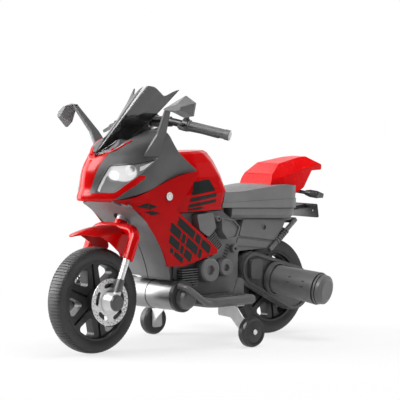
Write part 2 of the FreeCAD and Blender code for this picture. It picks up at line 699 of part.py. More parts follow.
def lever_slab(points, low, high):
    """Prism of an outline in the lever's plane, from one height above it to another."""
    _, _, _, up = bar_frame()
    face = Part.Face(rounded(points, lambda a, b: bar_point(a, b, low)))
    return face.extrude(up * (high - low))


def brake_lever():
    """Left lever blade with an oval hole near its root and a pin bore."""
    half = LEVER_THICKNESS / 2
    blade = lever_slab(lever_outline(0.0), -half, half)
    hole = lever_slab([
        (PERCH_BACK - 8.0, LEVER_AHEAD - 3.0, 2.4), (PERCH_BACK - 8.0, LEVER_AHEAD + 3.0, 2.4),
        (PERCH_BACK - 22.0, LEVER_AHEAD + 4.5, 2.4), (PERCH_BACK - 22.0, LEVER_AHEAD - 2.0, 2.4)], -half, half)
    bore = rod(bar_point(PERCH_BACK, LEVER_PIVOT_AHEAD, -20.0), bar_point(PERCH_BACK, LEVER_PIVOT_AHEAD, 20.0),
               LEVER_PIN_RADIUS + SHAFT_GAP)
    return cut_all(blade, [hole, bore])


def handlebar_half():
    """Left half of the bar with its switch box, ring pod and lever perch."""
    bend = bar_frame()[0]
    tube = bent_tube([vec(BAR_X, 0, BAR_Z), bend, vec(*BAR_END)], BAR_RADIUS, 40.0)
    box = slab([
        (BAR_X - 15.0, BAR_Z - 20.0, 3.0), (BAR_X + 8.0, BAR_Z - 20.0, 3.0),
        (BAR_X + 8.0, BAR_Z - 4.0, 4.0), (BAR_X - 12.0, BAR_Z + 10.0, 4.0)], side(SWITCH_BOX_Y), vec(0, SWITCH_BOX_WIDTH, 0))
    pod = rod(bar_point(GRIP_LENGTH + 1.0 + POD_WIDTH), bar_point(GRIP_LENGTH + 1.0), POD_RADIUS)
    gap = LEVER_THICKNESS / 2 + PART_GAP
    ear = [(PERCH_BACK + 7.0, 4.0, 0), (PERCH_BACK + 7.0, LEVER_PIVOT_AHEAD + 6.0, 6.0),
           (PERCH_BACK - 7.0, LEVER_PIVOT_AHEAD + 6.0, 6.0), (PERCH_BACK - 7.0, 4.0, 0)]
    ears = [lever_slab(ear, gap, gap + 4.0), lever_slab(ear, -gap - 4.0, -gap)]
    pin = rod(bar_point(PERCH_BACK, LEVER_PIVOT_AHEAD, -gap - 3.0), bar_point(PERCH_BACK, LEVER_PIVOT_AHEAD, gap + 3.0),
              LEVER_PIN_RADIUS)
    swing = lever_slab(lever_outline(2.0), -gap, gap).cut(pin)
    pod_middle = GRIP_LENGTH + 1.0 + POD_WIDTH / 2
    knob = rod(bar_point(pod_middle), bar_point(pod_middle, 0.0, POD_RADIUS + KNOB_RISE), KNOB_RADIUS)
    return fused([tube, box, pod.cut(swing), knob.cut(swing)] + ears + [pin])


def grip():
    """Left grip sleeve with a flange at its inner end and a thicker closed outer end."""
    start = bar_point(GRIP_LENGTH)
    end = bar_point(0.0)
    tip = bar_point(-4.0)
    body = fused([
        rod(start, end, GRIP_RADIUS), rod(start, bar_point(GRIP_LENGTH - 4.0), GRIP_FLANGE),
        rod(bar_point(9.0), tip, GRIP_RADIUS + 1.5)])
    return body.cut(rod(start, end, BAR_RADIUS))


def stem_clamp():
    """Block that joins the bar to the top of the stem."""
    top = steer_point(BAR_Z - 4.0)
    block = slab([
        (top.x - 16.0, BAR_Z - 26.0, 6.0), (BAR_X + 12.0, BAR_Z - 18.0, 6.0),
        (BAR_X + 14.0, BAR_Z + 8.0, 7.0), (BAR_X - 6.0, BAR_Z + 14.0, 7.0), (top.x - 20.0, BAR_Z - 4.0, 6.0)],
        side(-24.0), vec(0, 48.0, 0))
    return block


bar_left = handlebar_half()
stem = rod(steer_point(CROWN_Z - 6.0), steer_point(BAR_Z - 14.0), STEM_RADIUS)
collar = rod(steer_point(CROWN_Z + 22.0), steer_point(HEAD_LOW_Z - RUN_GAP), COLLAR_RADIUS)
steering_stem = fused([stem, collar])
handlebar = fused([bar_left, mirrored(bar_left), stem_clamp()]).cut(stem)
lever_left = brake_lever()
lever_right = mirrored(lever_left)
grip_left = grip()
grips = Part.makeCompound([grip_left, mirrored(grip_left)])


# Fairing surface: level sections lofted from the lip up to the top of the screen rim

def nose_level(z, tip, half, inset):
    """Level outline of the nose: blunt tip, rounded cheeks and straight sides."""
    b = half - inset
    t = tip - inset * 1.2
    left = [(NOSE_BACK_X, b), (tip - 165.0, b), (t - 86.0, b * 0.93), (t - 33.0, b * 0.5)]
    points = left + [(t, 0.0)] + [(x, -y) for x, y in reversed(left)]
    curve = through([vec(x, y, z) for x, y in points])
    back = Part.LineSegment(vec(NOSE_BACK_X, -b, z), vec(NOSE_BACK_X, b, z)).toShape()
    return Part.Wire([curve, back])


def nose_body(inset, over):
    """Solid inside the fairing surface, drawn in by an inset and lengthened at both ends."""
    levels = [list(level) for level in NOSE_LEVELS]
    levels[0][0] -= over
    levels[-1][0] += over
    return Part.makeLoft([nose_level(z, tip, half, inset) for z, tip, half in levels], True, False)


def side_prism(points):
    """Everything behind a side outline on the left, across the half width."""
    return slab(points, side(0.0), vec(0, 300.0, 0))


nose_outer = nose_body(0.0, 0.0)
nose_inner = nose_body(WALL, 6.0)
nose_shell = nose_outer.cut(nose_inner)

LENS_LOW_Z = 424.0
LENS_OUTLINE = [
    (330.0, LENS_LOW_Z, 4.0), (312.0, 466.0, 30.0), (294.0, 497.0, 12.0), (240.0, 500.0, 60.0), (156.0, 511.0, 2.0),
    (226.0, 470.0, 60.0), (262.0, 447.0, 60.0), (290.0, LENS_LOW_Z, 14.0)]
LIP_OUTLINE = [
    (420.0, 390.0, 0), (300.0, 390.0, 0), (296.0, 405.0, 0), (270.0, 425.0, 40.0), (202.0, 464.0, 3.0),
    (226.0, 470.0, 30.0), (262.0, 447.0, 60.0), (290.0, LENS_LOW_Z, 14.0), (420.0, LENS_LOW_Z, 0)]
FAIRING_OUTLINE = [
    (420.0, 404.5, 0), (296.0, 404.5, 0), (191.0, 428.0, 80.0), (76.0, 463.0, 200.0), (6.0, 469.0, 4.0),
    (80.0, 524.0, 60.0), (133.0, 591.0, 6.0), (240.0, 554.0, 120.0), (294.0, 521.0, 0), (350.0, 470.0, 0),
    (420.0, 470.0, 0)]


strip_prism = slab([
    (-STRIP_LOW[1], 380.0, 0), (STRIP_LOW[1], 380.0, 0), (STRIP_LOW[1], STRIP_LOW[0], 0),
    (STRIP_TOP[1], STRIP_TOP[0], 0), (-STRIP_TOP[1], STRIP_TOP[0], 0), (-STRIP_LOW[1], STRIP_LOW[0], 0)],
    front(220.0), vec(200.0, 0, 0))
rim_cut = slab([(240.0, 554.0, 0), (294.0, 521.0, 0), (420.0, 460.0, 0), (420.0, 700.0, 0), (240.0, 700.0, 0)],
               side(-200.0), vec(0, 400.0, 0))
lens_prism = side_prism(LENS_OUTLINE)
lip_prism = side_prism(LIP_OUTLINE)
lip_both = lip_prism.fuse(mirrored(lip_prism))
nose_panel = nose_shell.common(strip_prism.cut(rim_cut).fuse(lip_both))
nose_panel = cut_all(nose_panel, [lens_prism, mirrored(lens_prism)])
fairing = nose_shell.common(side_prism(FAIRING_OUTLINE))
upper_left = cut_all(fairing, [strip_prism, lens_prism, lip_prism])
lens_left = nose_shell.common(lens_prism)
lens_right = mirrored(lens_left)
upper_right = mirrored(upper_left)


def headlight_bowl():
    """Left lamp bowl behind the lens, with two round reflectors sunk into it."""
    front_skin = nose_body(WALL + PART_GAP, 6.0)
    back_skin = nose_body(WALL + BOWL_DEPTH, 8.0)
    block = front_skin.cut(back_skin).common(side_prism(LENS_OUTLINE))
    look = vec(0.78, 0.62, 0.0)
    sockets = []
    for x, y, z, radius in BOWL_REFLECTORS:
        centre = vec(x, y, z)
        sockets.append(cone(centre - look * BOWL_DEPTH * 0.55, centre + look * 30.0, radius * 0.45, radius * 1.6))
    return cut_all(block, sockets)


bowl_left = headlight_bowl()
headlight_bowls = Part.makeCompound([bowl_left, mirrored(bowl_left)])


# Screen: a centre bubble with a crease and a narrow wing each side, trimmed along its top

def screen_level(z, middle_x, crease, edge):
    """Thin level section: outer wing, bubble, wing, then back along the inside."""
    def row(inset):
        cx, cy = crease
        ex, ey = edge
        return [vec(ex - inset, ey, z), vec(cx - inset, cy - inset * 0.4, z), vec(middle_x - inset, 0, z),
                vec(cx - inset, inset * 0.4 - cy, z), vec(ex - inset, -ey, z)]
    out = row(0.0)
    back = row(SCREEN_WALL * 1.5)
    edges = [Part.LineSegment(out[0], out[1]), Part.Arc(out[1], out[2], out[3]), Part.LineSegment(out[3], out[4]),
             Part.LineSegment(out[4], back[4]), Part.LineSegment(back[4], back[3]),
             Part.Arc(back[3], back[2], back[1]), Part.LineSegment(back[1], back[0]),
             Part.LineSegment(back[0], out[0])]
    return Part.Wire([edge.toShape() for edge in edges])


def windshield():
    """Loft of the level sections, cut to the wavy top edge."""
    body = Part.makeLoft([screen_level(*level) for level in SCREEN_LEVELS], True, True)
    half = [vec(0, 0, SCREEN_TOP_Z)] + [vec(0, y, SCREEN_TOP_Z - drop) for y, drop in SCREEN_TOP_DROPS]
    curve = through([vec(0, -p.y, p.z) for p in reversed(half[1:])] + half)
    over = SCREEN_TOP_Z + 60.0
    first = vec(0, -half[-1].y, half[-1].z)
    frame = [Part.LineSegment(half[-1], vec(0, half[-1].y, over)).toShape(),
             Part.LineSegment(vec(0, half[-1].y, over), vec(0, first.y, over)).toShape(),
             Part.LineSegment(vec(0, first.y, over), first).toShape()]
    lid = Part.Face(Part.Wire([curve] + frame)).extrude(vec(400.0, 0, 0))
    return body.cut(lid)


screen = windshield()
dash_room = nose_body(WALL + PART_GAP, 6.0)
dash_block = slab(DASH_OUTLINE, side(-FAIRING_HALF_WIDTH), vec(0, 2 * FAIRING_HALF_WIDTH, 0))
dash_panel = cut_all(dash_block.common(dash_room), [nose_panel, screen])


# Mirrors: a broad tapered stem on the fairing, a faceted housing and a flat glass

def mirror_stem():
    """Left stem: a blade that narrows from its root on the fairing up to the housing."""
    root = vec(*MIRROR_ROOT)
    top = vec(*MIRROR_TOP)
    sections = []
    for share, length, thick in ((0.0, 50.0, 13.0), (0.45, 30.0, 12.0), (1.0, 17.0, 10.0)):
        centre = root + (top - root) * share + vec(MIRROR_BOW * share * (1 - share), 0, 0)
        a = length / 2
        b = thick / 2
        c = b * 0.45
        corners = [(-a, c - b), (c - a, -b), (a - c, -b), (a, c - b), (a, b - c), (a - c, b), (c - a, b), (-a, b - c)]
        row = [centre + vec(x, y, 0) for x, y in corners]
        sections.append(Part.makePolygon(row + row[:1]))
    return Part.makeLoft(sections, True, True).cut(nose_outer)


def mirror_frame(out, up, ahead, droop):
    """Point on the left mirror from the stem top: outward, up and ahead of the glass, turned down by the droop."""
    swing = math.radians(MIRROR_SWEEP_DEG)
    fall = math.radians(droop)
    outward = vec(-math.sin(swing), math.cos(swing), 0)
    forward = vec(math.cos(swing), math.sin(swing), 0)
    along = out * math.cos(fall) + up * math.sin(fall)
    height = up * math.cos(fall) - out * math.sin(fall)
    return vec(*MIRROR_TOP) + outward * along + forward * ahead + vec(0, 0, height)


def mirror_housing(droop):
    """Left housing: ruled loft from the rim outline to a small ridge, which leaves flat facets."""
    rim = [mirror_frame(out, up, 0.0, droop) for out, up in MIRROR_RIM]
    ridge = [mirror_frame(out, up, MIRROR_DEPTH, droop) for out, up in MIRROR_RIDGE]
    back = [mirror_frame(out, up, -MIRROR_RIM_DEPTH, droop) for out, up in MIRROR_RIM]
    wires = [Part.makePolygon(row + row[:1]) for row in (back, rim, ridge)]
    return Part.makeLoft(wires, True, True)


def mirror_glass(droop):
    """Left glass, flat on the back of the housing."""
    centre = [sum(c) / len(MIRROR_RIM) for c in zip(*MIRROR_RIM)]
    shrink = [(centre[0] + (out - centre[0]) * 0.86, centre[1] + (up - centre[1]) * 0.86) for out, up in MIRROR_RIM]
    row = [mirror_frame(out, up, -MIRROR_RIM_DEPTH, droop) for out, up in shrink]
    backward = mirror_frame(0, 0, -MIRROR_GLASS, droop) - mirror_frame(0, 0, 0, droop)
    return Part.Face(Part.makePolygon(row + row[:1])).extrude(backward)


housing_left = mirror_housing(0.0)
glass_left = mirror_glass(0.0)
stem_left = cut_all(mirror_stem(), [housing_left, glass_left])
housing_right = mirrored(mirror_housing(MIRROR_DROOP_DEG))
glass_right = mirrored(mirror_glass(MIRROR_DROOP_DEG))
stem_right = cut_all(mirrored(mirror_stem()), [housing_right, glass_right])
mirror_glasses = Part.makeCompound([glass_left, glass_right])


# Side fairing: a bowed panel cut to the side outline, with a flange that turns in along its rear ridge

def fairing_band(outer, inner):
    """Upright bowed slab on the left between two insets from the fairing's outer face."""
    def column(inset):
        return [vec(-200.0, y - inset, z) for z, y in FAIRING_BOW]
    out = column(outer)
    back = column(inner)
    edges = [through(out), Part.LineSegment(out[-1], back[-1]).toShape(), through(list(reversed(back))),
             Part.LineSegment(back[0], out[0]).toShape()]
    return Part.Face(Part.Wire(edges)).extrude(vec(700.0, 0, 0))


def fairing_outline():
    """Side outline: concave front edge round the wheel, low edge, tail tip, ridge and top seam."""
    edge = through([vec(x, 0, z) for x, z in FAIRING_FRONT_EDGE])
    rest = [FAIRING_FRONT_EDGE[-1]] + FAIRING_LOW_EDGE + [RIDGE_TIP, RIDGE_TOP, FAIRING_TOP_EDGE[0]]
    lines = [Part.LineSegment(vec(a[0], 0, a[1]), vec(b[0], 0, b[1])).toShape() for a, b in zip(rest, rest[1:])]
    top = through([vec(x, 0, z) for x, z in FAIRING_TOP_EDGE + [FAIRING_FRONT_EDGE[0]]])
    return Part.Face(Part.Wire([edge] + lines + [top])).extrude(vec(0, 300.0, 0))


fairing_side = fairing_outline()
ahead_of_bend = Part.makeBox(EVERYWHERE, EVERYWHERE, EVERYWHERE, vec(FAIRING_BEND_X, 0, 0))
lip_z, lip_tip, lip_half = NOSE_LEVELS[0]
skirt_fall = vec(0, 0, -SKIRT_DROP)
lip_skirt = Part.Face(nose_level(lip_z, lip_tip, lip_half, 0.0)).extrude(skirt_fall)
lip_skirt = lip_skirt.cut(Part.Face(nose_level(lip_z, lip_tip, lip_half, WALL)).extrude(skirt_fall))
fairing_front = fused([lip_skirt, nose_shell]).common(ahead_of_bend).common(fairing_side)
fairing_skin = fused([fairing_band(0.0, FAIRING_WALL).cut(ahead_of_bend).common(fairing_side), fairing_front])
ridge_dir = vec(RIDGE_TOP[0] - RIDGE_TIP[0], 0, RIDGE_TOP[1] - RIDGE_TIP[1]).normalize()
ridge_in = vec(ridge_dir.z, 0, -ridge_dir.x) * FAIRING_WALL
ridge_wall = Part.Face(Part.makePolygon([
    vec(RIDGE_TIP[0], 0, RIDGE_TIP[1]), vec(RIDGE_TOP[0], 0, RIDGE_TOP[1]),
    vec(RIDGE_TOP[0], 0, RIDGE_TOP[1]) + ridge_in, vec(RIDGE_TIP[0], 0, RIDGE_TIP[1]) + ridge_in,
    vec(RIDGE_TIP[0], 0, RIDGE_TIP[1])])).extrude(vec(0, 300.0, 0))
ridge_wall = ridge_wall.common(fairing_band(0.0, FAIRING_FLANGE)).common(fairing_side)
side_left = cut_all(fused([fairing_skin, ridge_wall]), [upper_left, nose_panel, lens_left])
side_right = mirrored(side_left)
inside_fairing = fairing_band(FAIRING_WALL + PART_GAP, 90.0)


# Body shell: two mirrored halves that meet on the centre plane, with the wheel arch and the head tube

def front_space():
    """Room for the front wheel ahead of the arch line."""
    low = vec(ARCH_LOW[0], -200.0, ARCH_LOW[1])
    top = vec(ARCH_TOP[0], -200.0, ARCH_TOP[1])
    middle = vec(ARCH_MIDDLE[0], -200.0, ARCH_MIDDLE[1])
    corners = [top, vec(SHELL_FRONT_X, -200.0, NOSE_LEVELS[0][0]), vec(520.0, -200.0, NOSE_LEVELS[0][0]),
               vec(520.0, -200.0, 0.0), vec(ARCH_LOW[0], -200.0, 0.0), low]
    edges = [Part.Arc(low, middle, top).toShape()]
    edges += [Part.LineSegment(a, b).toShape() for a, b in zip(corners, corners[1:])]
    return Part.Face(Part.Wire(edges)).extrude(vec(0, 400.0, 0))


wheel_room = front_space()
arch_shift = wheel_room.copy()
arch_shift.translate(vec(-ARCH_WALL, 0, ARCH_WALL))
arch_band = Part.makeBox(ARCH_TOP[0], FAIRING_HALF_WIDTH, ARCH_TOP[1], vec(0, 0, ARCH_LOW[1]))
arch_band = arch_band.common(arch_shift).cut(wheel_room).common(inside_fairing).cut(nose_outer).cut(side_left)
rear_room = Part.makeCylinder(REAR_RADIUS + REAR_ARCH_GAP, 4 * TYRE_HALF_WIDTH,
                              vec(REAR_AXLE_X, -2 * TYRE_HALF_WIDTH, REAR_RADIUS), vec(0, 1, 0))
pipe_room = rod(vec(PIPE_X, -200.0, PIPE_Z), vec(PIPE_X, 200.0, PIPE_Z), PIPE_RADIUS)
stem_room = [rod(steer_point(CROWN_Z), steer_point(HEAD_LOW_Z), COLLAR_RADIUS + 10.0),
             rod(steer_point(HEAD_LOW_Z), steer_point(HEAD_TOP_Z + 60.0), STEM_RADIUS + SHAFT_GAP)]
battery_bay = Part.makeBox(BATTERY[0] + 2 * BAY_GAP, BATTERY[1] / 2 + BAY_GAP, BATTERY[2] + 2 * BAY_GAP,
                           vec(BATTERY_X - BATTERY[0] / 2 - BAY_GAP, 0, BATTERY_Z))
shell_block = slab(SHELL_OUTLINE, side(0.0), vec(0, SHELL_HALF_WIDTH, 0))


def strut():
    """Bellows strut that slopes from the pan down to the swingarm."""
    top = vec(STRUT_TOP[0], STRUT_Y, STRUT_TOP[1])
    low = vec(STRUT_LOW[0], STRUT_Y, STRUT_LOW[1])
    way = (low - top).normalize()
    starts = [top + way * (BELLOWS_START + BELLOWS_PITCH * index) for index in range(BELLOWS_RINGS)]
    return fused([rod(top, low, STRUT_RADIUS)] + [rod(p, p + way * BELLOWS_RING, BELLOWS_RADIUS) for p in starts])


pockets = [slab(outline, side(SHELL_HALF_WIDTH - POCKET_DEPTH), vec(0, POCKET_DEPTH + 1.0, 0)) for outline in POCKETS]
side_panel = slab(PANEL_OUTLINE, side(SHELL_HALF_WIDTH), vec(0, PANEL_OUT, 0))
panel_disc = rod(vec(PANEL_DISC[0], SHELL_HALF_WIDTH, PANEL_DISC[1]),
                 vec(PANEL_DISC[0], SHELL_HALF_WIDTH + PANEL_OUT + 1.0, PANEL_DISC[1]), PANEL_DISC_RADIUS)
panel_dish = rod(vec(PANEL_DISC[0], SHELL_HALF_WIDTH, PANEL_DISC[1]),
                 vec(PANEL_DISC[0], SHELL_HALF_WIDTH + PANEL_OUT + 2.0, PANEL_DISC[1]), PANEL_DISC_RADIUS * 0.7)
low_strip = slab(STRIP_OUTLINE, side(SHELL_HALF_WIDTH), vec(0, STRIP_OUT, 0))
shell_side = cut_all(shell_block.cut(wheel_room), pockets)
shell_side = fused([shell_side, arch_band, fused([side_panel, panel_disc]).cut(panel_dish), low_strip, strut()])
shell_left = cut_all(shell_side, [rear_room, pipe_room, battery_bay] + stem_room).common(LEFT_HALF)
dash_panel = cut_all(dash_panel, [shell_left, mirrored(shell_left)])
socket_bore = rod(vec(SOCKET_X, -SHELL_HALF_WIDTH - PANEL_OUT - 1.0, SOCKET_Z),
                  vec(SOCKET_X, SOCKET_DEPTH - SHELL_HALF_WIDTH, SOCKET_Z), SOCKET_RADIUS)
shell_right = mirrored(shell_left).cut(socket_bore)
battery = Part.makeBox(BATTERY[0], BATTERY[1], BATTERY[2],
                       vec(BATTERY_X - BATTERY[0] / 2, -BATTERY[1] / 2, BATTERY_Z))


# Tank cover: level sections with a rounded back, hollow and open below

def tank_level(z, back, half, inset):
    """Level outline of the tank: straight front, bowed sides and a rounded back."""
    b = half - inset
    r = back + inset
    left = [(TANK_FRONT_X - inset, b * 0.97, 0), (0.0, b, 60.0), (r + 44.0, b * 0.86, 40.0), (r, b * 0.34, b * 0.4)]
    return rounded(left + [(x, -y, radius) for x, y, radius in reversed(left)], plan(z))


def tank_body(inset, top_drop, over):
    """Solid inside the tank surface."""
    levels = [list(level) for level in TANK_LEVELS]
    levels[0][0] -= over
    wires = [tank_level(z - top_drop * (z - TANK_LEVELS[0][0]) / (TANK_LEVELS[-1][0] - TANK_LEVELS[0][0]),
                        back, half, inset) for z, back, half in levels]
    return Part.makeLoft(wires, True, True)


tank = tank_body(0.0, 0.0, 0.0).cut(tank_body(WALL, 3 * WALL, 4.0))
tank_cut = nose_body(-PART_GAP, 6.0).cut(nose_inner).common(side_prism(FAIRING_OUTLINE).fuse(
    mirrored(side_prism(FAIRING_OUTLINE))))
tank_cover = cut_all(tank, [tank_cut, side_left, side_right, shell_left, shell_right])


# Seat: crowned moulding with a groove round it, on a tapered pan

def seat_ring(z, inset, corner):
    """Level rounded outline of the seat."""
    b = SEAT_HALF_WIDTH - inset
    return rounded([
        (SEAT_FRONT_X - inset, b * 0.86, corner * 0.5), (SEAT_REAR_X + inset, b, corner),
        (SEAT_REAR_X + inset, -b, corner), (SEAT_FRONT_X - inset, -b * 0.86, corner * 0.5)], plan(z))


def tilted(shape):
    """The shape turned down to the rear about the seat's front."""
    shape.rotate(vec(SEAT_FRONT_X, 0, SEAT_Z), vec(0, 1, 0), -SEAT_TILT_DEG)
    return shape


def seat_section(x, crease, crown):
    """Upright section of the level seat: flat base, upright sides and an arched top."""
    b = SEAT_HALF_WIDTH + 6.0
    base = [vec(x, b, crease), vec(x, b, SEAT_Z), vec(x, -b, SEAT_Z), vec(x, -b, crease)]
    sides = [Part.LineSegment(p, q).toShape() for p, q in zip(base, base[1:])]
    return Part.Wire(sides + [Part.Arc(base[3], vec(x, 0, crown), base[0]).toShape()])


def seat_moulding():
    """Level seat: a low band, a stepped-in upper part and flutes round the two rear corners."""
    body = Part.makeLoft([seat_section(*station) for station in SEAT_STATIONS], True, True)
    wide = Part.Face(seat_ring(SEAT_Z, 0.0, SEAT_CORNER)).extrude(vec(0, 0, 100.0))
    slim = Part.Face(seat_ring(SEAT_Z, SEAT_STEP, SEAT_CORNER)).extrude(vec(0, 0, 100.0))
    front_z, rear_z = SEAT_GROOVE_Z
    below = slab([(SEAT_FRONT_X + 40.0, SEAT_Z - 1.0, 0), (SEAT_FRONT_X + 40.0, front_z, 0),
                  (SEAT_REAR_X - 40.0, rear_z, 0), (SEAT_REAR_X - 40.0, SEAT_Z - 1.0, 0)],
                 side(-200.0), vec(0, 400.0, 0))
    return fused([body.common(slim).cut(below), body.common(wide).common(below)])


def seat_flutes():
    """Upright rods that cut the flutes at both rear corners."""
    rods = []
    for index in range(SEAT_FLUTES):
        turn = math.radians(12.0 + index * 66.0 / (SEAT_FLUTES - 1))
        x = SEAT_REAR_X + SEAT_CORNER - (SEAT_CORNER + 0.8) * math.sin(turn)
        y = SEAT_HALF_WIDTH - SEAT_CORNER + (SEAT_CORNER + 0.8) * math.cos(turn)
        low = rod(vec(x, y, SEAT_Z + 3.0), vec(x, y, SEAT_GROOVE_Z[1] - 4.0), SEAT_FLUTE_RADIUS)
        rods += [low, mirrored(low)]
    return rods


seat_room = tilted(seat_moulding())
seat_block = tilted(cut_all(seat_moulding(), seat_flutes()))
seat = cut_all(seat_block, [tank_body(-PART_GAP, 0.0, 30.0), tank_cover, shell_left, shell_right])
seat_pan = Part.makeLoft([seat_ring(SEAT_PAN_Z, 12.0, 40.0), seat_ring(SEAT_PAN_Z + 8.0, 5.0, SEAT_CORNER),
                          seat_ring(SEAT_Z - 1.5, 3.0, SEAT_CORNER), seat_ring(SEAT_Z, 8.0, 40.0)], True, True)
pan_front = Part.makeBox(400.0, 400.0, 200.0, vec(SEAT_PAN_FRONT_X, -200.0, SEAT_PAN_Z - 50.0))
seat_pan = cut_all(tilted(seat_pan), [pan_front, tank_body(-PART_GAP, 0.0, 30.0)])


# Tail: a hump that tapers up and back, with lamp, turn signals and plate holder

def tail_taper():
    """Solid that narrows to the rear, widest along a crease on each side that climbs to the rear."""
    wires = []
    for x, low, wide, crease_z, high in TAIL_WIDTHS:
        left = [vec(x, low, TAIL_LOW_Z), vec(x, wide, crease_z), vec(x, high, TAIL_TOP_Z)]
        right = [vec(x, -p.y, p.z) for p in reversed(left)]
        wires.append(Part.makePolygon(left + right + left[:1]))
    return Part.makeLoft(wires, True, True)


tail_block = slab(TAIL_OUTLINE, side(-100.0), vec(0, 200.0, 0)).common(tail_taper())
lamp_block = slab(LAMP_OUTLINE, side(-LAMP_HALF_WIDTH), vec(0, 2 * LAMP_HALF_WIDTH, 0))
tail_lamp = lamp_block.common(tail_block)
tail_cowl = cut_all(tail_block, [lamp_block, seat_room])


def turn_signal():
    """Left turn signal: stalk out of the tail and a rounded lamp body."""
    root = vec(*SIGNAL_ROOT)
    end = vec(*SIGNAL_END)
    along = (end - root).normalize()
    stalk = rod(root, end - along * 30.0, SIGNAL_STALK)
    body = cone(end - along * 34.0, end - along * 20.0, SIGNAL_STALK + 1.5, SIGNAL_RADIUS)
    cup = rod(end - along * 20.0, end, SIGNAL_RADIUS)
    return fused([stalk, body, cup]).cut(seat_room)


def signal_lens():
    """Left pale lens on the end of the lamp body."""
    end = vec(*SIGNAL_END)
    along = (end - vec(*SIGNAL_ROOT)).normalize()
    return cone(end, end + along * SIGNAL_LENS, SIGNAL_RADIUS, SIGNAL_RADIUS * 0.55)


signal_left = turn_signal().cut(tail_block)
turn_signals = Part.makeCompound([signal_left, mirrored(signal_left)])
lens_signal = signal_lens()
signal_lenses = Part.makeCompound([lens_signal, mirrored(lens_signal)])
plate = slab([(-PLATE_HALF, PLATE_Z[0], 4.0), (PLATE_HALF, PLATE_Z[0], 4.0), (PLATE_HALF - 6.0, PLATE_Z[1], 4.0),
              (6.0 - PLATE_HALF, PLATE_Z[1], 4.0)], front(PLATE_X), vec(-PLATE_WALL, 0, 0))
plate_arm = slab([(PLATE_X - PLATE_WALL / 2, PLATE_Z[1] - 12.0, 0), (PLATE_X - PLATE_WALL / 2, PLATE_Z[1] - 2.0, 0),
                  (SEAT_REAR_X + 12.0, pan_z(SEAT_REAR_X, 23.0), 0), (SEAT_REAR_X + 12.0, pan_z(SEAT_REAR_X, 11.0), 0)],
                 side(-PLATE_ARM_HALF), vec(0, 2 * PLATE_ARM_HALF, 0))
plate_holes = [rod(vec(PLATE_X - 20.0, y, sum(PLATE_Z) / 2), vec(PLATE_X + 20.0, y, sum(PLATE_Z) / 2), PLATE_HOLE)
               for y in (-PLATE_HOLE_Y, PLATE_HOLE_Y)]
plate_holder = cut_all(fused([plate, plate_arm.cut(seat_pan)]), plate_holes)


# Engine covers: a plate on the shell's side with round covers, a clutch cover, an air box and fin stacks

def drawn_in(outline, amount):
    """The outline's corners moved towards their middle."""
    middle_x = sum(p[0] for p in outline) / len(outline)
    middle_z = sum(p[1] for p in outline) / len(outline)
    reach = max(math.hypot(x - middle_x, z - middle_z) for x, z, radius in outline)
    share = 1.0 - amount / reach * 1.3
    return [(middle_x + (x - middle_x) * share, middle_z + (z - middle_z) * share, radius * share)
            for x, z, radius in outline]


def engine_cover():
    """Left engine moulding, outward from the shell's side wall."""
    base_y = SHELL_HALF_WIDTH
    plate_y = base_y + ENGINE_PLATE
    low = BOARD_TOP_Z + PART_GAP
    base = slab([
        (78.0, 186.0, 4.0), (78.0, 214.0, 4.0), (96.0, 358.0, 4.0), (-96.0, 358.0, 4.0), (-146.0, 330.0, 6.0),
        (-160.0, 238.0, 6.0), (-160.0, low, 4.0), (30.0, low, 4.0)], side(base_y), vec(0, ENGINE_PLATE, 0))
    pieces = [base, slab(AIRBOX_OUTLINE, side(plate_y), vec(0, AIRBOX_OUT, 0)),
              slab(CLUTCH_OUTLINE, side(plate_y), vec(0, CLUTCH_OUT, 0)).cut(
                  slab(drawn_in(CLUTCH_OUTLINE, CLUTCH_RIM), side(plate_y + CLUTCH_OUT - CLUTCH_RIM), vec(0, 9.0, 0)))]
    for x, z, radius, out in ROUND_COVERS:
        dish = min(9.0, out * 0.5)
        pieces.append(turned([
            (0.1, plate_y - 1.0, 0), (radius, plate_y - 1.0, 0), (radius, plate_y + out - 3.0, 0),
            (radius * 0.86, plate_y + out, 0), (radius * 0.42, plate_y + out - 1.0, 0),
            (radius * 0.34, plate_y + out - dish, 0), (0.1, plate_y + out - dish, 0)], x, z))
    lean = math.radians(REAR_FIN_LEAN_DEG)
    for index in range(REAR_FINS):
        fin = Part.makeBox(REAR_FIN_LENGTH, REAR_FIN_OUT + 1.0, FIN_THICKNESS,
                           vec(REAR_FIN_TOP[0] - REAR_FIN_LENGTH / 2, plate_y - 1.0, REAR_FIN_TOP[1]))
        fin.rotate(vec(REAR_FIN_TOP[0], 0, REAR_FIN_TOP[1]), vec(0, 1, 0), REAR_FIN_LEAN_DEG)
        fin.translate(vec(-math.sin(lean), 0, -math.cos(lean)) * (index * FIN_PITCH))
        pieces.append(fin)
    for index in range(FRONT_FINS):
        pieces.append(Part.makeBox(FRONT_FIN_X[1] - FRONT_FIN_X[0], FRONT_FIN_OUT + 1.0, FIN_THICKNESS,
                                   vec(FRONT_FIN_X[0], plate_y - 1.0, FRONT_FIN_LOW_Z + index * FIN_PITCH)))
    return fused(pieces)


engine_left = cut_all(engine_cover(), [side_left, tank_cover, seat_pan, pipe_room])
engine_right = mirrored(engine_left)


# Swingarm covers: a tapered rounded plate with a raised rim and boss, a lamp-like barrel standing out of it

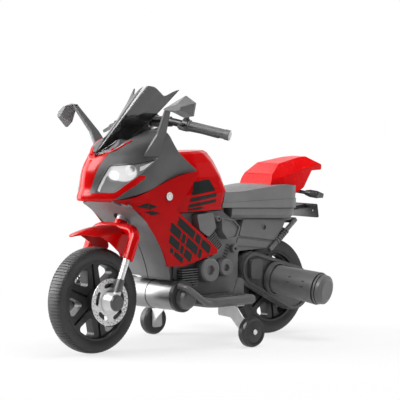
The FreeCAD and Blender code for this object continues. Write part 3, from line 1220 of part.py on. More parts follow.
def belt(first, last, shrink):
    """Outline round two circles (x, z, radius), drawn in by an amount."""
    x1, z1, r1 = first
    x2, z2, r2 = last
    r1 -= shrink
    r2 -= shrink
    way = math.atan2(z2 - z1, x2 - x1)
    spread = math.acos((r1 - r2) / math.hypot(x2 - x1, z2 - z1))

    def at(x, z, r, angle):
        return vec(x + r * math.cos(angle), 0, z + r * math.sin(angle))
    a, b = at(x1, z1, r1, way + spread), at(x2, z2, r2, way + spread)
    c, d = at(x2, z2, r2, way - spread), at(x1, z1, r1, way - spread)
    return Part.Wire([
        Part.LineSegment(a, b).toShape(), Part.Arc(b, at(x2, z2, r2, way), c).toShape(),
        Part.LineSegment(c, d).toShape(), Part.Arc(d, at(x1, z1, r1, way + math.pi), a).toShape()])


def belt_slab(shrink, low, high):
    """Prism of the belt outline between two y values."""
    body = Part.Face(belt(SWING_FRONT, SWING_REAR, shrink)).extrude(vec(0, high - low, 0))
    body.translate(vec(0, low, 0))
    return body


def swing_cover():
    """Left cover: plate, raised rim, rounded-square boss, barrel ring and the axle hole."""
    floor_y = SWING_OUT_Y - SWING_RIM
    plate = belt_slab(0.0, SWING_IN_Y, floor_y)
    rim = belt_slab(3.0, floor_y - 1.0, SWING_OUT_Y).cut(belt_slab(10.0, floor_y - 2.0, SWING_OUT_Y + 1.0))
    x, z, radius = SWING_FRONT
    half = radius * 0.46
    boss = slab([(x - half, z - half * 1.25, 11.0), (x + half, z - half * 1.25, 11.0),
                 (x + half, z + half * 1.25, 11.0), (x - half, z + half * 1.25, 11.0)],
                side(floor_y - 1.0), vec(0, SWING_RIM + 10.0, 0))
    start = vec(*BARREL_START)
    axis = (vec(*BARREL_END) - start).normalize()
    ring = rod(start - axis * 8.0, start + axis * 9.0, BARREL_RADIUS + 7.0)
    seat_hole = rod(start - axis * 2.0, start + axis * 30.0, BARREL_RADIUS + 4.0)
    axle_hole = rod(vec(REAR_AXLE_X, 0, REAR_RADIUS), vec(REAR_AXLE_X, SWING_OUT_Y - 4.0, REAR_RADIUS), AXLE_RADIUS)
    return cut_all(fused([plate, rim, boss, ring]), [seat_hole, axle_hole])


def barrel():
    """Left barrel: flared body with two grooves and a stepped end cap."""
    start = vec(*BARREL_START)
    end = vec(*BARREL_END)
    axis = (end - start).normalize()
    root = start - axis * 2.0
    parts = [cone(root, end, BARREL_RADIUS, BARREL_FLARE)]
    cursor = end
    for share, radius, radius_end in ((0.12, 0.9, 0.9), (0.2, 1.0, 1.0), (0.1, 0.9, 0.9), (0.34, 0.98, 0.94),
                                      (0.24, 0.94, 0.64)):
        step = cursor + axis * (BARREL_CAP_LENGTH * share)
        parts.append(cone(cursor - axis * 0.5, step, BARREL_CAP_RADIUS * radius, BARREL_CAP_RADIUS * radius_end)
                     if radius != radius_end else rod(cursor - axis * 0.5, step, BARREL_CAP_RADIUS * radius))
        cursor = step
    return fused(parts)


swing_left = swing_cover()
barrel_left = barrel()


# Cross pipe under the front of the body, with clamp rings and pipe stubs

def pipe_half():
    """Left half of the bright cross pipe, hollow."""
    outer = rod(vec(PIPE_X, 0, PIPE_Z), vec(PIPE_X, PIPE_END_Y, PIPE_Z), PIPE_RADIUS)
    inner = rod(vec(PIPE_X, -1.0, PIPE_Z), vec(PIPE_X, PIPE_END_Y - WALL, PIPE_Z), PIPE_RADIUS - WALL)
    return outer.cut(inner)


pipe_left = pipe_half()
ring_left = rod(vec(PIPE_X, PIPE_END_Y, PIPE_Z), vec(PIPE_X, PIPE_END_Y + RING_WIDTH, PIPE_Z), RING_RADIUS)
clamp_rings = Part.makeCompound([ring_left, mirrored(ring_left)])
stub_y = PIPE_END_Y + RING_WIDTH
stub_left = turned([(0.1, stub_y, 0), (STUB_RADIUS, stub_y, 0), (STUB_RADIUS, STUB_END_Y - STUB_CHAMFER * 2, 0),
                    (STUB_RADIUS - STUB_CHAMFER, STUB_END_Y - STUB_CHAMFER * 0.5, 0),
                    (STUB_RADIUS - STUB_CHAMFER * 2, STUB_END_Y, 0), (0.1, STUB_END_Y, 0)],
                   PIPE_X, BOARD_LOW_Z + STUB_RADIUS - 2.0)
pipe_stubs = Part.makeCompound([stub_left, mirrored(stub_left)])


# Footboards: moulded trays with a rounded rail in front, tread ribs and a heel tab

def board_ring(z, inset):
    """Level outline of the left footboard."""
    return rounded([
        (BOARD_FRONT_X - inset, SHELL_HALF_WIDTH, 0), (BOARD_FRONT_X - inset, BOARD_OUT_Y - inset, 26.0),
        (BOARD_REAR_X + inset, BOARD_OUT_Y - inset, 12.0), (BOARD_REAR_X + inset, SHELL_HALF_WIDTH, 0)], plan(z))


def footboard():
    """Left footboard."""
    tray = Part.makeLoft([board_ring(BOARD_LOW_Z, 6.0), board_ring(BOARD_LOW_Z + 7.0, 0.0),
                          board_ring(BOARD_TOP_Z - 4.0, 0.0), board_ring(BOARD_TOP_Z, 4.0)], True, True)
    ribs = []
    pitch = (BOARD_OUT_Y - 24.0 - 92.0) / (BOARD_RIBS - 1)
    for index in range(BOARD_RIBS):
        ribs.append(Part.makeBox(120.0, 4.0, 2.5, vec(BOARD_REAR_X + 26.0, 92.0 + index * pitch, BOARD_TOP_Z - 0.5)))
    rail = bent_tube([vec(107.0, 116.0, 172.0), vec(102.0, 146.0, 166.0), vec(38.0, 154.0, 121.0),
                      vec(6.0, 153.0, 121.0)], RAIL_RADIUS, 16.0)
    tab = slab([(-84.0, BOARD_TOP_Z - 1.0, 0), (-106.0, 181.0, 6.0), (-125.0, 172.0, 6.0),
                (-125.0, BOARD_TOP_Z - 1.0, 0)], side(HEEL_TAB_Y), vec(0, 5.0, 0))
    return fused([tray, rail, tab] + ribs)


def pedal_block(points, y_low, y_high):
    """Prism in the pedal's own leaning frame: (ahead of the pivot, above it)."""
    lean = math.radians(PEDAL_REST_DEG)
    x, z = PEDAL_PIVOT

    def place(a, b):
        return vec(x + a * math.cos(lean) - b * math.sin(lean), y_low, z + a * math.sin(lean) + b * math.cos(lean))
    return Part.Face(rounded(points, place)).extrude(vec(0, y_high - y_low, 0))


def pedal():
    """Foot throttle on the right board: a ribbed plate with a hinge barrel."""
    low, high = -PEDAL_Y[1], -PEDAL_Y[0]
    plate = pedal_block([(4.0, -1.0, 0), (PEDAL_LENGTH, -1.0, 2.0), (PEDAL_LENGTH, PEDAL_THICKNESS - 1.0, 2.0),
                         (4.0, PEDAL_THICKNESS - 1.0, 0)], low, high)
    ribs = [pedal_block([(a, 3.0, 0), (a + 4.0, 3.0, 0), (a + 4.0, PEDAL_THICKNESS + 1.0, 0),
                         (a, PEDAL_THICKNESS + 1.0, 0)], low + 6.0, high - 6.0) for a in (18.0, 32.0, 46.0, 60.0)]
    barrel_low, barrel_high = low + 8.0, high - 8.0
    x, z = PEDAL_PIVOT
    knuckle = rod(vec(x, barrel_low, z), vec(x, barrel_high, z), PEDAL_PIN + 3.0)
    bore = rod(vec(x, low - 5.0, z), vec(x, high + 5.0, z), PEDAL_PIN + SHAFT_GAP)
    corner = pedal_block([(-8.0, -8.0, 0), (10.0, -8.0, 0), (10.0, 8.0, 0), (-8.0, 8.0, 0)], low - 1.0, barrel_low)
    corner_far = pedal_block([(-8.0, -8.0, 0), (10.0, -8.0, 0), (10.0, 8.0, 0), (-8.0, 8.0, 0)],
                             barrel_high, high + 1.0)
    return cut_all(fused([plate, knuckle] + ribs), [bore, corner, corner_far])


def pedal_mount():
    """Two ears and the hinge pin that stand on the right board."""
    low, high = -PEDAL_Y[1] + 8.0, -PEDAL_Y[0] - 8.0
    x, z = PEDAL_PIVOT
    ears = [Part.makeBox(11.0, 6.0, z + 4.0 - BOARD_TOP_Z + 1.0, vec(x - 5.5, y, BOARD_TOP_Z - 1.0))
            for y in (low - PART_GAP - 6.0, high + PART_GAP)]
    return ears + [rod(vec(x, low - 4.0, z), vec(x, high + 4.0, z), PEDAL_PIN)]


board_left = footboard()
plain_ribs_room = Part.makeBox(100.0, PEDAL_Y[1] - PEDAL_Y[0] + 6.0, 20.0,
                               vec(PEDAL_PIVOT[0] - 8.0, -PEDAL_Y[1] - 3.0, BOARD_TOP_Z))
board_right = fused([mirrored(board_left).cut(plain_ribs_room)] + pedal_mount())
throttle_pedal = pedal()


# Stabilisers: pressed brackets with a pin each, and small wheels

def stabiliser_bracket():
    """Left bracket: flange under the board, gusset ahead, lug beside the wheel, and the wheel's pin."""
    lug_out = STAB_IN_Y - RUN_GAP
    lug_in = lug_out - STRAP
    half = STAB_LUG / 2
    top = BOARD_LOW_Z
    flange = Part.makeBox(STAB_LUG, STAB_FLANGE_Y[1] - STAB_FLANGE_Y[0], STRAP,
                          vec(STAB_X - half, STAB_FLANGE_Y[0], top - STRAP))
    lug = slab([(STAB_X - half, STAB_RADIUS - 20.0, 8.0), (STAB_X + half, STAB_RADIUS - 20.0, 8.0),
                (STAB_X + half, STAB_RADIUS + 36.0, 4.0), (STAB_X - half, STAB_RADIUS + 36.0, 4.0)],
               side(lug_in), vec(0, STRAP, 0))
    gusset = slab([(STAB_FLANGE_Y[0], top, 0), (STAB_FLANGE_Y[0], top - 32.0, 6.0), (132.0, top - 34.0, 20.0),
                   (lug_in - 2.0, STAB_RADIUS - 4.0, 10.0), (lug_out, STAB_RADIUS - 14.0, 0),
                   (lug_out, STAB_RADIUS + 36.0, 0), (STAB_FLANGE_Y[1], top, 10.0)],
                  front(STAB_X + half - STRAP), vec(STRAP, 0, 0))
    pin = rod(vec(STAB_X, lug_in, STAB_RADIUS), vec(STAB_X, STAB_OUT_Y + RUN_GAP, STAB_RADIUS), STAB_PIN_RADIUS)
    head = turned([(0.1, STAB_OUT_Y + RUN_GAP, 0), (7.0, STAB_OUT_Y + RUN_GAP, 0), (7.0, STAB_OUT_Y + 3.0, 0),
                   (5.5, STAB_OUT_Y + 4.5, 0), (0.1, STAB_OUT_Y + 4.5, 0)], STAB_X, STAB_RADIUS)
    return fused([flange, lug, gusset, pin, head])


def stabiliser_wheel():
    """Left stabiliser wheel: hard tread with a dished outer face."""
    body = turned([
        (STAB_PIN_RADIUS + SHAFT_GAP, STAB_IN_Y, 0), (STAB_RADIUS - 4.0, STAB_IN_Y, 0),
        (STAB_RADIUS, STAB_IN_Y + 6.0, 0), (STAB_RADIUS, STAB_OUT_Y - 6.0, 0),
        (STAB_RADIUS - 3.0, STAB_OUT_Y, 0), (STAB_RADIUS - 8.0, STAB_OUT_Y, 0),
        (STAB_RADIUS - 11.0, STAB_OUT_Y - 2.0, 0), (STAB_PIN_RADIUS + SHAFT_GAP, STAB_OUT_Y, 0)],
        STAB_X, STAB_RADIUS)
    return body


bracket_left = stabiliser_bracket()
stab_left = stabiliser_wheel()


# Push buttons: one on the dash for power, one on the left switch box for the horn

def button(face, outward):
    """Round button that stands out of its bore."""
    return rod(face - outward * (BUTTON_DEPTH - BUTTON_TRAVEL), face + outward * BUTTON_RISE, BUTTON_RADIUS)


def button_bore(face, outward):
    """Blind bore with room for the button's travel."""
    return rod(face - outward * (BUTTON_DEPTH + 1.0), face + outward * 30.0, BUTTON_RADIUS + SHAFT_GAP)


dash_edge = (vec(DASH_OUTLINE[3][0], 0, DASH_OUTLINE[3][1]), vec(DASH_OUTLINE[4][0], 0, DASH_OUTLINE[4][1]))
dash_face = (dash_edge[0] + dash_edge[1]) * 0.5
dash_run = (dash_edge[1] - dash_edge[0]).normalize()
dash_out = vec(dash_run.z, 0, -dash_run.x)
power_button = button(dash_face, dash_out)
dash_panel = dash_panel.cut(button_bore(dash_face, dash_out))

NODES = {
    "shell_left": shell_left, "shell_right": shell_right,
    "side_fairing_left": side_left, "side_fairing_right": side_right,
    "upper_fairing_left": upper_left, "upper_fairing_right": upper_right,
    "nose_panel": nose_panel, "headlight_lens_left": lens_left, "headlight_lens_right": lens_right,
    "headlight_bowls": headlight_bowls, "windshield": screen, "dash_panel": dash_panel,
    "mirror_stem_left": stem_left, "mirror_stem_right": stem_right,
    "mirror_housing_left": housing_left, "mirror_housing_right": housing_right,
    "mirror_glasses": mirror_glasses, "tank_cover": tank_cover, "seat": seat, "seat_pan": seat_pan,
    "tail_cowl": tail_cowl, "tail_lamp": tail_lamp, "turn_signals": turn_signals,
    "signal_lenses": signal_lenses, "plate_holder": plate_holder,
    "engine_cover_left": engine_left, "engine_cover_right": engine_right,
    "swing_cover_left": swing_left, "swing_cover_right": mirrored(swing_left),
    "barrel_left": barrel_left, "barrel_right": mirrored(barrel_left),
    "cross_pipe_left": pipe_left, "cross_pipe_right": mirrored(pipe_left),
    "clamp_rings": clamp_rings, "pipe_stubs": pipe_stubs,
    "footboard_left": board_left, "footboard_right": board_right, "throttle_pedal": throttle_pedal,
    "stabiliser_bracket_left": bracket_left, "stabiliser_bracket_right": mirrored(bracket_left),
    "stabiliser_wheel_left": stab_left, "stabiliser_wheel_right": mirrored(stab_left),
    "rear_wheel": rear_wheel, "rear_tyre": rear_tyre, "rear_axle": rear_axle, "battery": battery,
    "power_button": power_button,
    "steering_stem": steering_stem, "fork_crown": crown, "front_mudguard": front_mudguard,
    "fork_tubes": fork_tubes, "fork_lowers": fork_lowers, "handlebar": handlebar, "grips": grips,
    "brake_lever_left": lever_left, "brake_lever_right": lever_right,
    "front_axle": front_axle, "front_wheel": front_wheel, "front_tyre": front_tyre, "brake_discs": brake_discs,
}

# The origin lies on the ground under the middle of the overall length.
MIDDLE_X = (FRONT_AXLE_X + FRONT_RADIUS + TAIL_END_X) / 2
os.makedirs("parts", exist_ok=True)
for node, shape in NODES.items():
    shape.translate(vec(-MIDDLE_X, 0, 0))
    shape.exportStep("parts/" + node + ".step")
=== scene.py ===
import math

import bmesh
import bpy
import numpy as np
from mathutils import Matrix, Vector


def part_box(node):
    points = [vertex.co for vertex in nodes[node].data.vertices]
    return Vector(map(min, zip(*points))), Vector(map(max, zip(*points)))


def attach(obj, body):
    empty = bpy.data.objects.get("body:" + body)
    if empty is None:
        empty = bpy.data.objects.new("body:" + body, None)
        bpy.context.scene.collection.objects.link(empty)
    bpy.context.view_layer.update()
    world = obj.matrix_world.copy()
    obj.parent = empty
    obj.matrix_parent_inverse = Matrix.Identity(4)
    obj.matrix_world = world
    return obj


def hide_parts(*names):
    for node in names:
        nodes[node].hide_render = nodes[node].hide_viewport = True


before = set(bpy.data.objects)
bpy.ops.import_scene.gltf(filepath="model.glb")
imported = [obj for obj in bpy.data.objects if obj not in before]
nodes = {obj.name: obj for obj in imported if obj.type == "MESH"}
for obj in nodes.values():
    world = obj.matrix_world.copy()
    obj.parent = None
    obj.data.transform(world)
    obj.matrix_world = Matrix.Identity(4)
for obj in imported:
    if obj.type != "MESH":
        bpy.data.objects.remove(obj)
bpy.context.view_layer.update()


# Body shells: two halves of grey polypropylene with a fine spark-eroded grain,
# injection moulded and screwed together along the middle of the bike.

def new_finish(name):
    """A new material with its node tree, its Principled shader and its Object coordinate socket."""
    material = bpy.data.materials.new(name)
    material.use_nodes = True
    tree = material.node_tree
    place = tree.nodes.new("ShaderNodeTexCoord").outputs["Object"]
    return material, tree, tree.nodes["Principled BSDF"], place


def lumps(tree, place, size, detail=3.0):
    """Noise value whose lumps are about size metres across."""
    node = tree.nodes.new("ShaderNodeTexNoise")
    node.inputs["Scale"].default_value = 1.0 / size
    node.inputs["Detail"].default_value = detail
    tree.links.new(place, node.inputs["Vector"])
    return node.outputs["Fac"]


def between(tree, value, low, high, start=0.3, end=0.7):
    """Value mapped from start..end to low..high."""
    node = tree.nodes.new("ShaderNodeMapRange")
    for socket, number in zip(("From Min", "From Max", "To Min", "To Max"), (start, end, low, high)):
        node.inputs[socket].default_value = number
    tree.links.new(value, node.inputs["Value"])
    return node.outputs["Result"]


def shaded(tree, value, dark, pale, start=0.3, end=0.7):
    """Colour that goes from dark to pale as the value goes from start to end."""
    ramp = tree.nodes.new("ShaderNodeValToRGB")
    for element, at, colour in zip(ramp.color_ramp.elements, (start, end), (dark, pale)):
        element.position = at
        element.color = (*colour, 1.0)
    tree.links.new(value, ramp.inputs["Fac"])
    return ramp.outputs["Color"]


def raised(tree, shader, value, height, edge=0.0):
    """Bump of that height in metres, over normals rounded by an edge radius where one is given."""
    bump = tree.nodes.new("ShaderNodeBump")
    bump.inputs["Distance"].default_value = height
    tree.links.new(value, bump.inputs["Height"])
    if edge:
        bevel = tree.nodes.new("ShaderNodeBevel")
        bevel.samples = 4
        bevel.inputs["Radius"].default_value = edge
        tree.links.new(bevel.outputs["Normal"], bump.inputs["Normal"])
    tree.links.new(bump.outputs["Normal"], shader.inputs["Normal"])


def painted_crease_shade(tree, colour, shade_colour, reach=0.007, closed=0.25, open_air=0.85):
    """Colour with painted shade: it turns to the shade colour in creases narrower than the reach, as their
    openness falls from open air to closed."""
    crease = tree.nodes.new("ShaderNodeAmbientOcclusion")
    crease.samples = 6
    crease.inputs["Distance"].default_value = reach
    mixer = tree.nodes.new("ShaderNodeMix")
    mixer.data_type = "RGBA"
    unshaded_share = between(tree, crease.outputs["AO"], 0.0, 1.0, closed, open_air)
    tree.links.new(unshaded_share, mixer.inputs["Factor"])
    mixer.inputs["A"].default_value = (*shade_colour, 1.0)
    tree.links.new(colour, mixer.inputs["B"])
    return mixer.outputs["Result"]


def moulded(name, colour, rough, grain, depth, drift=0.1, edge=0.0012, gloss=0.5):
    """Moulded plastic: the colour drifts by a slow noise and darkens with painted shade in creases, the
    roughness drifts by a quicker noise, and the mould's grain is a bump of that depth."""
    cloud_size = 0.06
    smear_size = 0.012
    # Share of the colour left in the deepest creases by the painted shade.
    shade_share = 0.25
    polished_share = 0.85
    worn_share = 1.2
    material, tree, shader, place = new_finish(name)
    dark = [c * (1 - drift) for c in colour]
    pale = [c * (1 + drift) for c in colour]
    shade_colour = [c * shade_share for c in colour]
    drifted = shaded(tree, lumps(tree, place, cloud_size), dark, pale)
    # Painted shade: an ambient occlusion node darkens the colour in creases.
    tree.links.new(painted_crease_shade(tree, drifted, shade_colour), shader.inputs["Base Color"])
    smears = lumps(tree, place, smear_size, detail=5.0)
    roughness = between(tree, smears, rough * polished_share, rough * worn_share)
    tree.links.new(roughness, shader.inputs["Roughness"])
    shader.inputs["Specular IOR Level"].default_value = gloss
    raised(tree, shader, lumps(tree, place, grain, detail=2.0), depth, edge)
    return material


def dress(material, *names):
    """Puts a material on CAD nodes in place of the plain one."""
    for name in names:
        for index in range(len(nodes[name].material_slots)):
            nodes[name].material_slots[index].link = "OBJECT"
            nodes[name].material_slots[index].material = material


grey_moulding = moulded("grey_moulding", (0.14, 0.14, 0.143), rough=0.42, grain=0.0007, depth=0.00006)
dress(grey_moulding, "shell_left", "shell_right")

# Joint line of the body halves: a black foam cord, cut to length and pressed into the groove
# down the front arch and round the middle of the cross pipe.
arch_points = np.array([[0.144, 0.184], [0.188, 0.290], [0.294, 0.388]])
arch_seam_share = 0.28
arch_seam_steps = 40
pipe_seam_steps = 72
seam_radius = 0.0011
black_foam = moulded("black_foam", (0.012, 0.012, 0.013), rough=0.7, grain=0.0006, depth=0.0002)


def skin(name, points, around=False, along=False):
    """Quads over a grid of points, joined end to end round the rows or along the columns where asked."""
    rows, columns = points.shape[:2]
    index = np.arange(rows * columns).reshape(rows, columns)
    if around:
        index = np.vstack([index, index[:1]])
    if along:
        index = np.hstack([index, index[:, :1]])
    quads = np.stack([index[:-1, :-1], index[1:, :-1], index[1:, 1:], index[:-1, 1:]], -1).reshape(-1, 4)
    mesh = bpy.data.meshes.new(name)
    mesh.from_pydata(points.reshape(-1, 3).tolist(), [], quads.tolist())
    return mesh


def finished(mesh, material, body, turn_out=True):
    """The mesh as a smooth piece of its name on a body, with doubles merged and faces turned outwards."""
    same_place = 1e-6
    work = bmesh.new()
    work.from_mesh(mesh)
    bmesh.ops.remove_doubles(work, verts=work.verts, dist=same_place)
    if turn_out:
        bmesh.ops.recalc_face_normals(work, faces=work.faces)
    work.to_mesh(mesh)
    work.free()
    mesh.polygons.foreach_set("use_smooth", np.ones(len(mesh.polygons), bool))
    mesh.materials.append(material)
    piece = bpy.data.objects.new(mesh.name, mesh)
    bpy.context.scene.collection.objects.link(piece)
    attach(piece, body)
    return piece


def tube(path, radius, sides=10):
    """Circle carried along a path of points: at each, cos t times the path's upright normal plus sin t
    times the Y axis, times the radius."""
    way = np.gradient(path, axis=0)
    way /= np.linalg.norm(way, axis=1, keepdims=True)
    across = np.array([0.0, 1.0, 0.0])
    normal = np.cross(way, across)
    turn = np.linspace(0, 2 * np.pi, sides, endpoint=False)
    ring = np.cos(turn)[:, None, None] * normal + np.sin(turn)[:, None, None] * across
    return path[None] + radius * ring


def circle_through(points):
    """Centre of the circle through three (x, z) points, where the lines halfway between them cross,
    and its radius."""
    chords = points[1:] - points[0]
    centre = np.linalg.solve(2 * chords, np.sum(points[1:]**2 - points[0]**2, axis=1))
    return centre, np.linalg.norm(points[0] - centre)


def arc(centre, radius, turn):
    """Points at these angles on a circle about an (x, z) centre, in the upright plane along the bike."""
    return np.stack([centre[0] + radius * np.cos(turn), 0 * turn, centre[1] + radius * np.sin(turn)], 1)


arch_centre, arch_radius = circle_through(arch_points)
arch_arms = arch_points - arch_centre
arch_turns = np.arctan2(arch_arms[:, 1], arch_arms[:, 0])
arch_stop = (1 - arch_seam_share) * arch_turns[1] + arch_seam_share * arch_turns[2]
arch_path = arc(arch_centre, arch_radius, np.linspace(arch_turns[0], arch_stop, arch_seam_steps))
arch_cord = skin("arch_seam", tube(arch_path, seam_radius), around=True)
finished(arch_cord, black_foam, "frame")

pipe_low, pipe_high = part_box("cross_pipe_left")
pipe_centre = ((pipe_low[0] + pipe_high[0]) / 2, (pipe_low[2] + pipe_high[2]) / 2)
pipe_radius = (pipe_high[2] - pipe_low[2]) / 2
pipe_path = arc(pipe_centre, pipe_radius, np.linspace(0, 2 * np.pi, pipe_seam_steps, endpoint=False))
pipe_cord = skin("pipe_seam", tube(pipe_path, seam_radius), around=True, along=True)
finished(pipe_cord, black_foam, "frame")

# Engine covers: a moulded dummy engine on each flank, in the grey plastic of the shells
# with a slightly coarser grain, clipped to the shells from outside.
engine_grey = moulded("engine_grey", (0.14, 0.14, 0.143), rough=0.44, grain=0.0009, depth=0.00008)
dress(engine_grey, "engine_cover_left", "engine_cover_right")

# Drive covers and barrels: darker polypropylene, injection moulded. The covers are bolted round
# the rear axle, and each barrel is pushed into the ring of its cover.
dark_moulding = moulded("dark_moulding", (0.085, 0.085, 0.087), rough=0.42, grain=0.0008, depth=0.00008)
barrel_moulding = moulded("barrel_moulding", (0.125, 0.125, 0.127), rough=0.46, grain=0.0008, depth=0.00008)
dress(dark_moulding, "swing_cover_left", "swing_cover_right")
dress(barrel_moulding, "barrel_left", "barrel_right")

# Footboards: dark grey plastic trays with round rails, screwed under the shells, with the pedal and the
# pipe stubs in the same plastic. Clamp rings, plate holder, signal stalks, battery case and dash are
# black mouldings, clipped or screwed on.
rail_grey = moulded("rail_grey", (0.11, 0.11, 0.112), rough=0.42, grain=0.0008, depth=0.0001)
black_moulding = moulded("black_moulding", (0.04, 0.04, 0.042), rough=0.4, grain=0.0008, depth=0.0001)
dress(rail_grey, "footboard_left", "footboard_right", "throttle_pedal", "pipe_stubs")
dress(black_moulding, "clamp_rings", "plate_holder", "turn_signals", "battery", "dash_panel")

# Tread studs: rounded pips of black plastic on the ribs of the left footboard, where the foot rests.
# They are moulded with the board and left matt for grip.
stud_rows = 6
stud_columns = 15
stud_run = (-0.074, 0.038)
stud_spread = (0.094, 0.141)
stud_half = np.array([0.0022, 0.0017, 0.0013])
rib_top_z = 0.136


def patches(name, points, flip=False):
    """Quads over each grid in a stack of grids of points, turned over where asked."""
    count, rows, columns = points.shape[:3]
    index = np.arange(count * rows * columns).reshape(count, rows, columns)
    corners = [index[:, :-1, :-1], index[:, 1:, :-1], index[:, 1:, 1:], index[:, :-1, 1:]]
    quads = np.stack(corners[::-1] if flip else corners, -1).reshape(-1, 4)
    mesh = bpy.data.meshes.new(name)
    mesh.from_pydata(points.reshape(-1, 3).tolist(), [], quads.tolist())
    return mesh


def beads(name, centres, half, axes=np.eye(3), tilts=6, swings=9):
    """Balls with these half axes at each centre: (sin t cos p, sin t sin p, cos t) with t over a half turn
    and p over a whole one, turned to the three axes."""
    tilt, swing = np.meshgrid(np.linspace(0, np.pi, tilts), np.linspace(0, 2 * np.pi, swings), indexing="ij")
    ball = np.stack([np.sin(tilt) * np.cos(swing), np.sin(tilt) * np.sin(swing), np.cos(tilt)], -1)
    return patches(name, centres[:, None, None, :] + (ball[None] * half) @ axes)


stud_x, stud_y = np.meshgrid(np.linspace(*stud_run, stud_columns), np.linspace(*stud_spread, stud_rows))
stud_places = np.stack([stud_x.ravel(), stud_y.ravel(), np.full(stud_x.size, rib_top_z)], 1)
finished(beads("tread_studs", stud_places, stud_half), black_moulding, "frame")

# Barrel vents: four short black slots on the front of each barrel, in two pairs along it.
# Each is a black bead set into the barrel's wall, its black a painted shade for the hollow of the slot.
barrel_start = np.array([-0.259, 0.076, 0.161])
barrel_end = np.array([-0.289, 0.215, 0.141])
barrel_radii = (0.038, 0.045)
vent_half = np.array([0.0022, 0.0070, 0.0022])
vent_share = np.array([0.46, 0.46, 0.78, 0.78])
vent_turn = np.radians([32.0, 12.0, 26.0, 6.0])
vent_sink = 0.0010
barrel_run = barrel_end - barrel_start
barrel_way = barrel_run / np.linalg.norm(barrel_run)
barrel_ahead = np.array([1.0, 0.0, 0.0]) - barrel_way[0] * barrel_way
barrel_ahead /= np.linalg.norm(barrel_ahead)
barrel_up = np.cross(barrel_ahead, barrel_way)
vent_out = np.cos(vent_turn)[:, None] * barrel_ahead + np.sin(vent_turn)[:, None] * barrel_up
vent_reach = barrel_radii[0] + vent_share * (barrel_radii[1] - barrel_radii[0]) - vent_sink
vent_places = barrel_start + vent_share[:, None] * barrel_run + vent_reach[:, None] * vent_out
for side, word in ((1, "left"), (-1, "right")):
    # The vents' black is painted shade for the hollow of each slot.
    vents = beads("barrel_vents_" + word, vent_places * [1, side, 1], vent_half)
    finished(vents, black_moulding, "frame")

# Engine ribs: a slanted stack of six black plastic ribs above the round covers, moulded as an insert
# and pushed into the engine cover from inside.
rib_count = 6
rib_first = np.array([-0.0920, 0.0632, 0.2620])
rib_last = np.array([-0.0760, 0.0632, 0.2240])
rib_half = np.array([0.0095, 0.0026, 0.0014])
rib_axes = np.array([[-0.89, 0.0, -0.45], [0.0, 1.0, 0.0], [0.45, 0.0, -0.89]])
rib_places = np.linspace(rib_first, rib_last, rib_count)
for side, word in ((1, "left"), (-1, "right")):
    ribs = beads("engine_ribs_" + word, rib_places * [1, side, 1], rib_half, rib_axes)
    finished(ribs, black_moulding, "frame")

# Inner mudguard: a thin black plastic leaf bent over the front of the rear tyre and clipped between the
# swingarm covers, so that no light comes through there.
leaf_centre = np.array([-0.3005, 0.0, 0.1330])
leaf_radius = 0.1455
leaf_span = np.radians([18.0, 74.0])
leaf_half_width = 0.0425
leaf_thickness = 0.0018
leaf_steps = (25, 7)


def bent_leaf(centre, radius, span, half_width):
    """Arc of the radius about the centre over the span, in the XZ plane, carried sideways over the width."""
    turns = np.linspace(*span, leaf_steps[0])
    widths = np.linspace(-half_width, half_width, leaf_steps[1])
    turn, across = np.meshgrid(turns, widths, indexing="ij")
    return centre + np.stack([radius * np.cos(turn), across, radius * np.sin(turn)], -1)


leaf_skin = skin("inner_mudguard", bent_leaf(leaf_centre, leaf_radius, leaf_span, leaf_half_width))
leaf = finished(leaf_skin, black_moulding, "frame")
leaf_wall = leaf.modifiers.new("wall", "SOLIDIFY")
leaf_wall.thickness = leaf_thickness
leaf_wall.offset = 0.0

# Red panels: glossy self-coloured plastic, polished in the mould. Side fairings and tank are clipped to the
# grey shells, while nose, fork crown, front mudguard and tail are screwed on from inside.
# The side fairings and tank take a darker copy of the red: painted shade on the flanks.
shaded_red = moulded("shaded_red", (0.42, 0.0, 0.001), rough=0.2, grain=0.004, depth=0.00002,
                    drift=0.06, gloss=0.12)
bright_red = moulded("bright_red", (0.6, 0.0, 0.001), rough=0.18, grain=0.004, depth=0.00001,
                     drift=0.05, gloss=0.3)
tail_red = moulded("tail_red", (0.6, 0.0, 0.001), rough=0.24, grain=0.004, depth=0.00001,
                   drift=0.05, gloss=0.1)
dress(shaded_red, "side_fairing_left", "side_fairing_right", "tank_cover")
dress(bright_red, "nose_panel", "fork_crown", "front_mudguard")
dress(tail_red, "tail_cowl")

# Stickers on the flanks: cut vinyl of a very dark green in plain slanted bars, laid on the side fairings
# and the tank after moulding. Rows of bars follow the fairing's lower ridge, as (near, far) offsets from it.
ridge_tip = np.array([-0.025, 0.258])
ridge_way = np.array([0.808, 0.589])
ridge_in = np.array([0.589, -0.808])
bar_slant = 0.35
sticker_rows = {
    (0.008, 0.029): [(0.026, 0.066), (0.071, 0.093), (0.098, 0.172)],
    (0.034, 0.057): [(0.046, 0.059), (0.064, 0.114), (0.119, 0.135), (0.140, 0.186)],
    (0.062, 0.083): [(0.070, 0.102), (0.107, 0.121), (0.126, 0.170)],
    (0.088, 0.101): [(0.090, 0.130), (0.135, 0.149)],
}
side_bars = [
    [ridge_tip + ridge_way * (along - bar_slant * (off - near)) + ridge_in * off
     for along, off in ((start, near), (end, near), (end, far), (start, far))]
    for (near, far), runs in sticker_rows.items() for start, end in runs]
side_bars += [
    [(0.270, 0.387), (0.232, 0.395), (0.196, 0.383), (0.224, 0.377)],
    [(0.248, 0.373), (0.216, 0.373), (0.186, 0.365), (0.214, 0.361)]]
